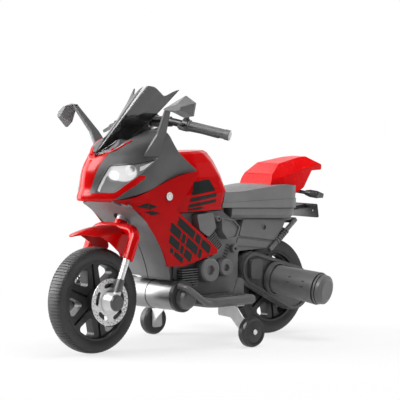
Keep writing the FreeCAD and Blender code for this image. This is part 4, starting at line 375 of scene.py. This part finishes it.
tank_bars = [
    [(0.052, 0.441), (-0.008, 0.446), (-0.033, 0.415), (0.062, 0.406)],
    [(0.064, 0.399), (-0.035, 0.408), (-0.036, 0.398), (0.068, 0.388)],
    [(0.071, 0.382), (-0.034, 0.391), (-0.032, 0.383), (0.075, 0.373)],
    [(0.0755, 0.3695), (0.020, 0.3745), (0.022, 0.3680), (0.0770, 0.3650)]]
sheet_steps = (17, 7)
sheet_y = 0.2
film_thickness = 0.00025
film_lift = 1.2
vinyl = moulded("dark_vinyl", (0.008, 0.013, 0.012), rough=0.4, grain=0.0015, depth=0.00003, gloss=0.25)


def bar_sheets(name, bars, side):
    """Each bar's four (x, z) corners blended over a grid, in an upright plane outside the flank."""
    u, v = np.meshgrid(*(np.linspace(0, 1, steps) for steps in sheet_steps), indexing="ij")
    weights = np.stack([(1 - u) * (1 - v), u * (1 - v), u * v, (1 - u) * v], -1)
    flat = np.einsum("uvk,bkc->buvc", weights, np.array(bars))
    points = np.stack([flat[..., 0], np.full(flat.shape[:-1], sheet_y * side), flat[..., 1]], -1)
    return patches(name, points, flip=side < 0)


def stuck(name, bars, side, node, material, thick=film_thickness):
    """Flat trim pressed on a node: projected on it along Y, then given its thickness."""
    piece = finished(bar_sheets(name, bars, side), material, "frame", turn_out=False)
    piece.data.polygons.foreach_set("use_smooth", np.zeros(len(piece.data.polygons), bool))
    press = piece.modifiers.new("press", "SHRINKWRAP")
    press.target = nodes[node]
    press.wrap_method = "PROJECT"
    press.use_project_y = True
    press.use_negative_direction = side > 0
    press.use_positive_direction = side < 0
    press.offset = thick * film_lift
    film = piece.modifiers.new("film", "SOLIDIFY")
    film.thickness = thick
    film.offset = -1.0


for side, word in ((1, "left"), (-1, "right")):
    stuck("side_stickers_" + word, side_bars, side, "side_fairing_" + word, vinyl)
    stuck("tank_stickers_" + word, tank_bars, side, "tank_cover", vinyl)

# Badges: a plain white plastic disc with a raised rim on each side fairing,
# moulded by itself and pushed into a shallow seat.
badge_place = (0.1544, 0.408)
badge_sink = 0.0006
badge_profile = [(0.0, 0.0012), (0.0052, 0.0012), (0.0058, 0.0006), (0.0072, 0.0006), (0.0078, 0.0016),
                 (0.0104, 0.0016), (0.0110, 0.0010), (0.0110, -0.0010), (0.0, -0.0010)]
badge_white = moulded("badge_white", (0.8, 0.8, 0.8), rough=0.25, grain=0.002, depth=0.00002)


def lathe(name, profile, centre, axis, steps=48):
    """Profile of (radius, height) pairs turned about an axis through the centre."""
    near_upright = 0.9
    axis = np.array(axis, float) / np.linalg.norm(axis)
    first = np.cross(axis, [0.0, 0.0, 1.0]) if abs(axis[2]) < near_upright else np.array([1.0, 0.0, 0.0])
    first /= np.linalg.norm(first)
    second = np.cross(axis, first)
    profile = np.array(profile)
    turn = np.linspace(0, 2 * np.pi, steps, endpoint=False)
    ring = np.cos(turn)[:, None] * first + np.sin(turn)[:, None] * second
    points = np.array(centre) + profile[None, :, :1] * ring[:, None, :] + profile[None, :, 1:] * axis
    return skin(name, points, around=True)


badge_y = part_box("side_fairing_left")[1][1] - badge_sink
for side, word in ((1, "left"), (-1, "right")):
    badge_centre = (badge_place[0], side * badge_y, badge_place[1])
    badge = lathe("badge_" + word, badge_profile, badge_centre, (0, side, 0))
    finished(badge, badge_white, "frame")

# Upper fairings, mirrors, seat and pan: grey plastic with a soft sheen, the seat a hard moulding too.
# Fairings and stems are screwed to the shells, the housings sit on the stems, and the seat on its pan.
satin_grey = moulded("satin_grey", (0.08, 0.08, 0.082), rough=0.38, grain=0.0012, depth=0.00001, edge=0.0)
mirror_grey = moulded("mirror_grey", (0.16, 0.16, 0.163), rough=0.5, grain=0.03, depth=0.000001,
                      edge=0.0, gloss=0.2)
seat_grey = moulded("seat_grey", (0.17, 0.17, 0.173), rough=0.46, grain=0.001, depth=0.00008)
dress(satin_grey, "upper_fairing_left", "upper_fairing_right", "mirror_stem_left", "mirror_stem_right")
dress(mirror_grey, "mirror_housing_left", "mirror_housing_right")
dress(seat_grey, "seat", "seat_pan")

# Wheels and tyres: black moulded wheels with pressed-on tyres of hard plastic. The tread has short ribs
# across it, cut off by a step at each shoulder.
wheel_black = moulded("wheel_black", (0.024, 0.024, 0.025), rough=0.36, grain=0.0012, depth=0.00008)
tyre_black = moulded("tyre_black", (0.034, 0.034, 0.035), rough=0.46, grain=0.0008, depth=0.00012, drift=0.16)
dress(wheel_black, "front_wheel", "rear_wheel", "stabiliser_wheel_left", "stabiliser_wheel_right")
tyre_section = np.array([
    [0.0340, 0.0230], [0.0300, 0.0243], [0.0240, 0.0256], [0.0180, 0.0260], [0.0120, 0.0257],
    [0.0085, 0.0250], [0.0075, 0.0244], [0.0082, 0.0236], [0.0066, 0.0231], [0.0045, 0.0216],
    [0.0024, 0.0180], [0.0009, 0.0120], [0.0002, 0.0060], [0.0, 0.0]])
tread_from = 8
tread_ribs = 98
tread_depth = 0.0024
tread_phase = np.array([0.0, 0.46, 0.54, 0.92])
tread_dip = np.array([0.0, 0.0, 1.0, 1.0])
tread_crease = math.radians(38)
ribbed = (np.arange(len(tyre_section)) >= tread_from).astype(float)


def tyre(name, node, body):
    """Section of (depth below the tread, half width) carried round the axle; the tread dips by its depth
    in the second half of every rib's step."""
    low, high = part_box(node)
    centre_x = (low[0] + high[0]) / 2
    radius = (high[2] - low[2]) / 2
    section = np.vstack([tyre_section * [1, -1], tyre_section[-2::-1]])
    weight = np.concatenate([ribbed, ribbed[-2::-1]])
    dip = np.tile(tread_dip, tread_ribs)
    turn = (np.arange(tread_ribs)[:, None] + tread_phase[None]).ravel() * 2 * np.pi / tread_ribs
    reach = radius - section[None, :, 0] - tread_depth * dip[:, None] * weight[None]
    across = np.broadcast_to(section[None, :, 1], reach.shape)
    points = np.stack([centre_x + reach * np.cos(turn)[:, None], across,
                       radius + low[2] + reach * np.sin(turn)[:, None]], -1)
    piece = finished(skin(name, points, around=True, along=True), tyre_black, body)
    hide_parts(node)
    sharp = piece.modifiers.new("crease", "EDGE_SPLIT")
    sharp.split_angle = tread_crease


tyre("front_tread", "front_tyre", "front_wheel_set")
tyre("rear_tread", "rear_tyre", "rear_wheel_set")


# Fork tubes, cross pipe, stem, axles and brackets: chromed steel tubes and a satin cross pipe, drawn and
# polished, a plain steel stem and axles, and silver-painted pressed brackets bolted under the shells.

def metal(name, colour, rough, scratch, depth, share=1.0):
    """Bright metal: roughness drifts by a noise drawn out along Y, and the same noise is a faint bump.
    The share is how far the shader is metal."""
    drawn_out = 0.15
    cloud_size = 0.02
    dull_share = 0.9
    polished_share = 0.7
    worn_share = 1.4
    material, tree, shader, place = new_finish(name)
    stretch = tree.nodes.new("ShaderNodeMapping")
    stretch.inputs["Scale"].default_value = (1.0, drawn_out, 1.0)
    tree.links.new(place, stretch.inputs["Vector"])
    grain = lumps(tree, stretch.outputs["Vector"], scratch, detail=5.0)
    dull = [c * dull_share for c in colour]
    tree.links.new(shaded(tree, lumps(tree, place, cloud_size), dull, colour), shader.inputs["Base Color"])
    roughness = between(tree, grain, rough * polished_share, rough * worn_share)
    tree.links.new(roughness, shader.inputs["Roughness"])
    shader.inputs["Metallic"].default_value = share
    raised(tree, shader, grain, depth)
    return material


chrome = metal("chrome", (0.95, 0.955, 0.96), rough=0.3, scratch=0.004, depth=0.000001, share=0.5)
satin_chrome = metal("satin_chrome", (0.3, 0.303, 0.306), rough=0.4, scratch=0.02, depth=0.000001)
disc_steel = metal("disc_steel", (0.78, 0.78, 0.79), rough=0.36, scratch=0.004, depth=0.000002, share=0.6)
silver_plate = moulded("silver_plate", (0.75, 0.75, 0.76), rough=0.34, grain=0.002, depth=0.00003)
dress(chrome, "fork_tubes")
dress(satin_chrome, "cross_pipe_left", "cross_pipe_right")
dress(disc_steel, "steering_stem", "front_axle", "rear_axle")
dress(silver_plate, "stabiliser_bracket_left", "stabiliser_bracket_right")

# Brake discs: bright steel rings on both sides of the front wheel, pressed from sheet with five curved slots
# and two rows of drilled holes, and riveted to the hub.
disc_bore = 0.024
disc_web_to = 0.050
disc_web_rings = 14
disc_rim_from = 0.0508
disc_rim_rings = 16
disc_cells = 396
disc_slot_radius = 0.044
disc_slot_half = 0.0052
disc_slot_span = math.radians(36.0)
disc_slot_shift = 0.35
disc_slots = 5
disc_holes = 30
disc_hole_radius = 0.0021
disc_hole_rows = (0.0583, 0.0530)
disc_thickness = 0.003


def drilled_discs(name, node, body):
    """Flat rings by radius and angle on both sides of the wheel, with the cells inside the holes and slots
    left out."""
    low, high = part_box(node)
    centre_x = (low[0] + high[0]) / 2
    radius = (high[2] - low[2]) / 2
    centre_z = low[2] + radius
    reach = np.concatenate([np.linspace(disc_bore, disc_web_to, disc_web_rings),
                            np.linspace(disc_rim_from, radius, disc_rim_rings)])
    turn = np.linspace(0, 2 * np.pi, disc_cells, endpoint=False)
    mid_reach = (reach[1:] + reach[:-1])[None] / 2
    mid_turn = (turn + np.pi / disc_cells)[:, None]

    def off(count, shift):
        """Angle from the nearest of a number of even places."""
        step = 2 * np.pi / count
        return (mid_turn + shift) % step - step / 2

    gone = np.zeros((disc_cells, len(reach) - 1), bool)
    for row, hole_radius in enumerate(disc_hole_rows):
        apart = np.hypot(mid_reach - hole_radius, mid_reach * off(disc_holes, row * np.pi / disc_holes))
        gone |= apart < disc_hole_radius
    past = np.maximum(np.abs(off(disc_slots, disc_slot_shift)) - disc_slot_span / 2, 0) * mid_reach
    gone |= np.hypot(past, mid_reach - disc_slot_radius) < disc_slot_half
    index = np.arange(disc_cells * len(reach)).reshape(disc_cells, len(reach))
    index = np.vstack([index, index[:1]])
    quads = np.stack([index[:-1, :-1], index[1:, :-1], index[1:, 1:], index[:-1, 1:]], -1)[~gone]
    flat = np.stack([centre_x + reach[None] * np.cos(turn)[:, None], np.zeros((disc_cells, len(reach))),
                     centre_z + reach[None] * np.sin(turn)[:, None]], -1).reshape(-1, 3)
    both_sides = np.vstack([flat + [0, high[1], 0], flat + [0, low[1], 0]])
    both_quads = np.vstack([quads[:, ::-1], quads + len(flat)])
    mesh = bpy.data.meshes.new(name)
    mesh.from_pydata(both_sides.tolist(), [], both_quads.tolist())
    piece = finished(mesh, disc_steel, body, turn_out=False)
    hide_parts(node)
    plate = piece.modifiers.new("plate", "SOLIDIFY")
    plate.thickness = disc_thickness
    plate.offset = -1.0


drilled_discs("drilled_discs", "brake_discs", "front_wheel_set")

# Fork lowers: cast carriers in silver that clamp the axle, with a dark cap pressed on its end
# and a dark sleeve where each tube goes in.
cap_y = 0.0945
cap_reach = 0.1
cap_metal_fade = (0.0940, 0.0946)
sleeve_fade = (0.1665, 0.1675)
carrier_silver = (0.75, 0.75, 0.76, 1.0)
cap_grey = (0.07, 0.07, 0.072, 1.0)
sleeve_grey = (0.12, 0.12, 0.122, 1.0)
carrier_metal = 0.35
carrier_rough = (0.28, 0.42)
cast_blotch = 0.006
cast_grain = 0.0015
cast_depth = 0.00005
cast_edge = 0.001
cast_silver, tree, shader, place = new_finish("cast_silver")
split = tree.nodes.new("ShaderNodeSeparateXYZ")
tree.links.new(place, split.inputs["Vector"])
outward = tree.nodes.new("ShaderNodeMath")
outward.operation = "ABSOLUTE"
tree.links.new(split.outputs["Y"], outward.inputs[0])
cap_ramp = tree.nodes.new("ShaderNodeValToRGB")
cap_ramp.color_ramp.interpolation = "CONSTANT"
cap_ramp.color_ramp.elements[0].color = carrier_silver
cap_ramp.color_ramp.elements[1].position = cap_y / cap_reach
cap_ramp.color_ramp.elements[1].color = cap_grey
tree.links.new(between(tree, outward.outputs[0], 0.0, 1.0, 0.0, cap_reach), cap_ramp.inputs["Fac"])
sleeve = tree.nodes.new("ShaderNodeMix")
sleeve.data_type = "RGBA"
tree.links.new(between(tree, split.outputs["Z"], 0.0, 1.0, *sleeve_fade), sleeve.inputs["Factor"])
tree.links.new(cap_ramp.outputs["Color"], sleeve.inputs["A"])
sleeve.inputs["B"].default_value = sleeve_grey
tree.links.new(sleeve.outputs["Result"], shader.inputs["Base Color"])
carrier_shine = between(tree, outward.outputs[0], carrier_metal, 0.0, *cap_metal_fade)
tree.links.new(carrier_shine, shader.inputs["Metallic"])
tree.links.new(between(tree, lumps(tree, place, cast_blotch), *carrier_rough), shader.inputs["Roughness"])
raised(tree, shader, lumps(tree, place, cast_grain), cast_depth, cast_edge)
dress(cast_silver, "fork_lowers")

# Lenses, bowls and windshield: polycarbonate mouldings, clear over silvered bowls with a painted glow,
# pale and emitting, in their middle, and smoke-tinted on the signals and the windshield. The lenses are
# welded to their bowls, and the windshield is screwed to the nose.
lens_cover = 0.22
glow_centre = np.array([0.296, 0.0, 0.476])
glow_half = (0.034, 0.0245)
glow_scale = np.array([1 / glow_half[0], 0.0, 1 / glow_half[1]])
glow_fade = (0.86, 1.02)
glow_strength = 0.55
bowl_dark = (0.09, 0.09, 0.092)
glow_pale = (0.9, 0.9, 0.91)
bowl_rough = (0.15, 0.3)
bowl_blotch = 0.01
bowl_grain = 0.004
bowl_depth = 0.00002


def clear(name, colour, rough, ior):
    """See-through moulding: tinted transmission with a faint ripple."""
    cloud_size = 0.05
    smear_size = 0.01
    ripple_size = 0.02
    ripple_depth = 0.00002
    dark_share = 0.94
    polished_share = 0.8
    worn_share = 1.2
    material, tree, shader, place = new_finish(name)
    dark = [c * dark_share for c in colour]
    tree.links.new(shaded(tree, lumps(tree, place, cloud_size), dark, colour), shader.inputs["Base Color"])
    smears = lumps(tree, place, smear_size)
    roughness = between(tree, smears, rough * polished_share, rough * worn_share)
    tree.links.new(roughness, shader.inputs["Roughness"])
    shader.inputs["Transmission Weight"].default_value = 1.0
    shader.inputs["IOR"].default_value = ior
    raised(tree, shader, lumps(tree, place, ripple_size), ripple_depth)
    return material


clear_lens = moulded("clear_lens", (0.9, 0.91, 0.92), rough=0.05, grain=0.02, depth=0.00001, drift=0.03)
clear_lens.node_tree.nodes["Principled BSDF"].inputs["Alpha"].default_value = lens_cover
smoke = clear("smoke_screen", (0.11, 0.11, 0.112), rough=0.1, ior=1.4)
bowl_silver, tree, shader, place = new_finish("bowl_silver")
spread = tree.nodes.new("ShaderNodeMapping")
spread.inputs["Scale"].default_value = glow_scale
spread.inputs["Location"].default_value = -glow_scale * glow_centre
tree.links.new(place, spread.inputs["Vector"])
glow_reach = tree.nodes.new("ShaderNodeVectorMath")
glow_reach.operation = "LENGTH"
tree.links.new(spread.outputs["Vector"], glow_reach.inputs[0])
# Painted glow: inside the ellipse round the glow centre the bowl turns pale and emits light.
glow_share = between(tree, glow_reach.outputs["Value"], 1.0, 0.0, *glow_fade)
bowl_colour = shaded(tree, glow_share, bowl_dark, glow_pale, 0.0, 1.0)
glow_colour = shaded(tree, glow_share, (0.0, 0.0, 0.0), (1.0, 1.0, 1.0), 0.0, 1.0)
tree.links.new(bowl_colour, shader.inputs["Base Color"])
tree.links.new(glow_colour, shader.inputs["Emission Color"])
shader.inputs["Emission Strength"].default_value = glow_strength
tree.links.new(between(tree, lumps(tree, place, bowl_blotch), *bowl_rough), shader.inputs["Roughness"])
raised(tree, shader, lumps(tree, place, bowl_grain), bowl_depth)
dress(clear_lens, "headlight_lens_left", "headlight_lens_right")
dress(smoke, "windshield", "signal_lenses")
dress(bowl_silver, "headlight_bowls")

# Headlight trim: a black rubber lip round the upper edge of each lens, a white light guide inside it
# and a pale side reflector, all stuck to the lamp.
lip_path = [(0.3590, 0.4275), (0.3510, 0.4465), (0.3429, 0.4655), (0.3360, 0.4776), (0.3290, 0.4895),
            (0.3245, 0.4945), (0.3180, 0.4962), (0.2950, 0.4974), (0.2720, 0.4987), (0.2300, 0.5041),
            (0.2030, 0.5076)]
lip_width = 0.0024
lip_thickness = 0.0008
guide_path = [(0.3555, 0.4290), (0.3480, 0.4465), (0.3403, 0.4643), (0.3335, 0.4765), (0.3270, 0.4875)]
guide_width = 0.0050
reflector_bars = [[(0.2590, 0.4790), (0.2570, 0.4900), (0.2080, 0.5035), (0.2470, 0.4820)]]
lip_black = moulded("lip_black", (0.01, 0.01, 0.011), rough=0.4, grain=0.001, depth=0.00002)
guide_white = moulded("guide_white", (0.85, 0.85, 0.86), rough=0.2, grain=0.004, depth=0.00001)


def ribbon(path, width):
    """Quads of that width on the left of a path of (x, z) points, each corner set off square to the path."""
    path = np.array(path)
    way = np.gradient(path, axis=0)
    way /= np.linalg.norm(way, axis=1, keepdims=True)
    inner = path + width * np.stack([-way[:, 1], way[:, 0]], 1)
    return np.stack([path[:-1], path[1:], inner[1:], inner[:-1]], 1)


for side, word in ((1, "left"), (-1, "right")):
    lens = "headlight_lens_" + word
    lip = ribbon(lip_path, lip_width)
    guide = ribbon(guide_path, guide_width)
    stuck("lens_lip_" + word, lip, side, lens, lip_black, lip_thickness)
    stuck("light_guide_" + word, guide, side, lens, guide_white)
    stuck("side_reflector_" + word, reflector_bars, side, lens, silver_plate)

# Screen rim and foot: a red bead along the foot of the windshield on both sides of the nose, and a thin red
# ledge in front of it. Both are moulded in the nose's plastic and clipped over the windshield's edge.
rim_radius = 0.0024
rim_half = np.array([
    [0.2560, 0.0615, 0.5570], [0.2661, 0.0594, 0.5529], [0.2841, 0.0560, 0.5443], [0.3010, 0.0477, 0.5347],
    [0.3151, 0.0360, 0.5277], [0.3250, 0.0180, 0.5225]])
rim_tip = np.array([[0.3290, 0.0, 0.5200]])
rim_path = np.vstack([rim_half, rim_tip, (rim_half * [1, -1, 1])[::-1]])
rim_bead = skin("screen_rim", tube(rim_path, rim_radius), around=True)
finished(rim_bead, bright_red, "frame")
foot_front = (0.3485, 0.5105)
foot_sweep = 26.9
foot_climb = 14.4
foot_half_width = 0.041
foot_depth = 0.027
foot_rise = 0.008
foot_thickness = 0.0015
foot_steps = (41, 6)


def screen_foot(half_width, depth, rise):
    """Ledge across the nose: its front edge runs back and up with the square of y, and its depth fades out
    with the fourth power of y towards both ends."""
    widths = np.linspace(-half_width, half_width, foot_steps[0])
    y, v = np.meshgrid(widths, np.linspace(0, 1, foot_steps[1]), indexing="ij")
    front_x = foot_front[0] - foot_sweep * y**2
    front_z = foot_front[1] + foot_climb * y**2
    return np.stack([front_x - v * depth * (1 - (y / half_width)**4), y, front_z + rise * v], -1)


foot_ledge = skin("screen_foot", screen_foot(foot_half_width, foot_depth, foot_rise))
foot = finished(foot_ledge, bright_red, "frame")
foot_wall = foot.modifiers.new("wall", "SOLIDIFY")
foot_wall.thickness = foot_thickness
foot_wall.offset = -1.0

# Handlebar, levers and grips: a black moulded bar with pivoting levers, and soft rubber sleeves
# with fine rings, pushed on the bar and closed by a plug in each end, painted pale as a highlight.
bar_end = np.array([0.063, 0.224, 0.571])
bar_bend = np.array([0.141, 0.077, 0.607])
bar_overhang = 0.004
grip_radius = 0.0125
grip_lip = 0.001
ring_height = 0.0006
ring_pitch = 0.004
ring_run = np.linspace(-0.102, -0.014, 177)
ring_swell = ring_height * np.abs(np.sin(ring_run * np.pi / ring_pitch))
ring_profile = np.stack([grip_radius + ring_swell, ring_run], 1)
ring_profile[[0, -1], 0] = grip_radius - grip_lip
plug_profile = [(0.0, 0.0012), (0.0118, 0.0012), (0.0128, 0.0004), (0.0128, -0.001), (0.0, -0.001)]
grip_steps = 32
grip_rubber = moulded("grip_rubber", (0.12, 0.12, 0.122), rough=0.5, grain=0.0006, depth=0.0001)
# The plugs' pale grey is a painted highlight on the grip ends.
pale_plug_highlight = moulded("pale_plug_highlight", (0.5, 0.5, 0.505), rough=0.4, grain=0.001, depth=0.00002)
dress(wheel_black, "handlebar", "brake_lever_left", "brake_lever_right")
dress(grip_rubber, "grips")
bar_run = bar_end - bar_bend
bar_tip = bar_end + bar_overhang * bar_run / np.linalg.norm(bar_run)
for side, word in ((1, "left"), (-1, "right")):
    mirrored = np.array([1, side, 1])
    plug = lathe("grip_plug_" + word, plug_profile, bar_tip * mirrored, bar_run * mirrored, grip_steps)
    rings = lathe("grip_rings_" + word, ring_profile, bar_end * mirrored, bar_run * mirrored, grip_steps)
    finished(plug, pale_plug_highlight, "steering")
    finished(rings, grip_rubber, "steering")

# Gauges: two plain dials in the dash that face the rider, with a chromed bezel, a white plastic face,
# printed ticks and a red needle, each pushed into the dash as one unit.
dash_centre = np.array([0.189, 0.0, 0.596])
dash_out = np.array([-0.864, 0.0, 0.504])
dash_up = np.array([0.504, 0.0, 0.864])
dash_across = np.array([0.0, 1.0, 0.0])
dial_y = 0.042
dial_radius = 0.0105
dial_steps = 32
face_lift = 0.0008
needle_lift = 0.0010
bezel_profile = [(share * dial_radius, height) for share, height in (
    (0.86, 0.0008), (0.88, 0.0022), (1.0, 0.0022), (1.06, 0.0012), (1.06, -0.001), (0.86, -0.001),
    (0.86, 0.0008))]
face_profile = [(share * dial_radius, height) for share, height in (
    (0.0, face_lift), (0.87, face_lift), (0.87, -0.001), (0.0, -0.001))]
tick_turn = np.radians(np.linspace(-130, 130, 11))
tick_reach = dial_radius * 0.72
tick_half = np.full(3, 0.0006)
needle_run = np.linspace(-0.1, 0.68, 12) * dial_radius
needle_half = np.full(3, 0.0005)
needle_tick = 3
spokes = np.cos(tick_turn)[:, None] * dash_up + np.sin(tick_turn)[:, None] * dash_across
for side, word in ((1, "left"), (-1, "right")):
    dial = dash_centre + side * dial_y * dash_across
    bezel = lathe("gauge_bezel_" + word, bezel_profile, dial, dash_out, dial_steps)
    face = lathe("gauge_face_" + word, face_profile, dial, dash_out, dial_steps)
    ticks = beads("gauge_ticks_" + word, dial + face_lift * dash_out + tick_reach * spokes, tick_half)
    needle_places = dial + needle_lift * dash_out + needle_run[:, None] * spokes[needle_tick]
    needle = beads("gauge_needle_" + word, needle_places, needle_half)
    finished(bezel, chrome, "frame")
    finished(face, badge_white, "frame")
    finished(ticks, lip_black, "frame")
    finished(needle, bright_red, "frame")

# Mirror faces, tail lamp and power button: silvered plastic sheets glued into the housings,
# and clear red mouldings that snap into the tail and the dash.
mirror_face = metal("mirror_face", (0.9, 0.91, 0.93), rough=0.04, scratch=0.02, depth=0.000002)
lamp_red = moulded("lamp_red", (0.6, 0.01, 0.012), rough=0.12, grain=0.004, depth=0.00002)
dress(mirror_face, "mirror_glasses")
dress(lamp_red, "tail_lamp", "power_button")

# Studio: a pale floor that keeps the shadow, a white backdrop, three soft boxes that light the object
# and three cards that only reflections show. Mirrored and refracted rays see a room that is white
# on the far side of the object and dark elsewhere.
floor_half = 6.0
floor_grey = 0.62
floor_white = (0.72, 1.0)
floor_fade = (0.4, 1.3)
far_side = (-0.684, -0.7256, 0.0)
room_white = (0.08, 1.0)
room_fade = (0.6, 0.95)
ambient_strength = (0.3, 0.5)
ambient_fade = (-0.6, 0.3)
lamp_target = Vector((0.0, 0.0, 0.35))
camera_place = (4.84976, 5.19179, 0.90081)
camera_way = Vector((-0.684306, -0.725605, -0.072266))
camera_lens = 237.375
camera_sensor = 36.0


def joined(tree, operation, first, second):
    """Two values joined by a Math node: MAXIMUM gives the larger, MULTIPLY the product."""
    node = tree.nodes.new("ShaderNodeMath")
    node.operation = operation
    tree.links.new(first, node.inputs[0])
    tree.links.new(second, node.inputs[1])
    return node.outputs[0]


def mixed(tree, share, first, second):
    """Two shaders mixed by a share of the second."""
    node = tree.nodes.new("ShaderNodeMixShader")
    tree.links.new(share, node.inputs["Fac"])
    tree.links.new(first.outputs[0], node.inputs[1])
    tree.links.new(second.outputs[0], node.inputs[2])
    return node


floor_mesh = bpy.data.meshes.new("floor")
corner = floor_half * np.array([[-1, -1], [1, -1], [1, 1], [-1, 1]], float)
floor_mesh.from_pydata(np.c_[corner, np.zeros(4)].tolist(), [], [[0, 1, 2, 3]])
floor = bpy.data.objects.new("floor", floor_mesh)
bpy.context.scene.collection.objects.link(floor)
floor_paint = bpy.data.materials.new("floor_paint")
floor_paint.use_nodes = True
tree = floor_paint.node_tree
tree.nodes.clear()
matt = tree.nodes.new("ShaderNodeBsdfDiffuse")
matt.inputs["Color"].default_value = (floor_grey, floor_grey, floor_grey, 1.0)
white = tree.nodes.new("ShaderNodeEmission")
ray = tree.nodes.new("ShaderNodeLightPath").outputs
from_middle = tree.nodes.new("ShaderNodeVectorMath")
from_middle.operation = "LENGTH"
tree.links.new(tree.nodes.new("ShaderNodeTexCoord").outputs["Object"], from_middle.inputs[0])
mirrored_ray = joined(tree, "MAXIMUM", ray["Is Glossy Ray"], ray["Is Transmission Ray"])
seen = joined(tree, "MAXIMUM", ray["Is Camera Ray"], mirrored_ray)
whiteness = between(tree, from_middle.outputs["Value"], *floor_white, *floor_fade)
floor_look = mixed(tree, joined(tree, "MULTIPLY", seen, whiteness), matt, white)
tree.links.new(floor_look.outputs[0], tree.nodes.new("ShaderNodeOutputMaterial").inputs["Surface"])
floor_mesh.materials.append(floor_paint)

world = bpy.data.worlds.new("surround")
bpy.context.scene.world = world
world.use_nodes = True
tree = world.node_tree
tree.nodes.clear()
ray = tree.nodes.new("ShaderNodeLightPath").outputs
way = tree.nodes.new("ShaderNodeVectorMath")
way.operation = "DOT_PRODUCT"
way.inputs[1].default_value = far_side
tree.links.new(tree.nodes.new("ShaderNodeTexCoord").outputs["Generated"], way.inputs[0])
ambient = tree.nodes.new("ShaderNodeBackground")
room = tree.nodes.new("ShaderNodeBackground")
backdrop = tree.nodes.new("ShaderNodeBackground")
for shade in (ambient, room, backdrop):
    shade.inputs["Color"].default_value = (1.0, 1.0, 1.0, 1.0)
ambient_level = between(tree, way.outputs["Value"], *ambient_strength, *ambient_fade)
room_level = between(tree, way.outputs["Value"], *room_white, *room_fade)
tree.links.new(ambient_level, ambient.inputs["Strength"])
tree.links.new(room_level, room.inputs["Strength"])
mirrored_ray = joined(tree, "MAXIMUM", ray["Is Glossy Ray"], ray["Is Transmission Ray"])
surround = mixed(tree, ray["Is Camera Ray"], mixed(tree, mirrored_ray, ambient, room), backdrop)
tree.links.new(surround.outputs[0], tree.nodes.new("ShaderNodeOutputWorld").inputs["Surface"])


def soft_lamp(name, place, size, power):
    """Square area lamp that faces the middle of the object."""
    lamp = bpy.data.lights.new(name, "AREA")
    lamp.size = size
    lamp.energy = power
    holder = bpy.data.objects.new(name, lamp)
    holder.location = place
    holder.rotation_euler = (lamp_target - Vector(place)).to_track_quat("-Z", "Y").to_euler()
    bpy.context.scene.collection.objects.link(holder)
    return holder


for name, place, size, power in (
        ("front_left_box", (2.3, -2.0, 1.4), 1.8, 150.0),
        ("top_box", (-0.2, 0.5, 3.0), 2.0, 70.0),
        ("rear_box", (-2.7, 0.9, 1.3), 1.5, 50.0)):
    soft_lamp(name, place, size, power).visible_glossy = False
for name, place, size, power in (
        ("gloss_card", (1.5, -1.8, 1.2), 2.4, 110.0),
        ("high_card", (-0.35, -1.9, 2.1), 0.8, 12.0),
        ("front_card", (2.0, 0.2, 2.2), 1.6, 110.0)):
    soft_lamp(name, place, size, power).visible_diffuse = False

camera = bpy.data.objects.new("camera", bpy.data.cameras.new("camera"))
camera.location = camera_place
camera.rotation_euler = camera_way.to_track_quat("-Z", "Y").to_euler()
camera.data.sensor_width = camera_sensor
camera.data.lens = camera_lens
bpy.context.scene.collection.objects.link(camera)
bpy.context.scene.camera = camera
bpy.context.scene.view_settings.view_transform = "Standard"
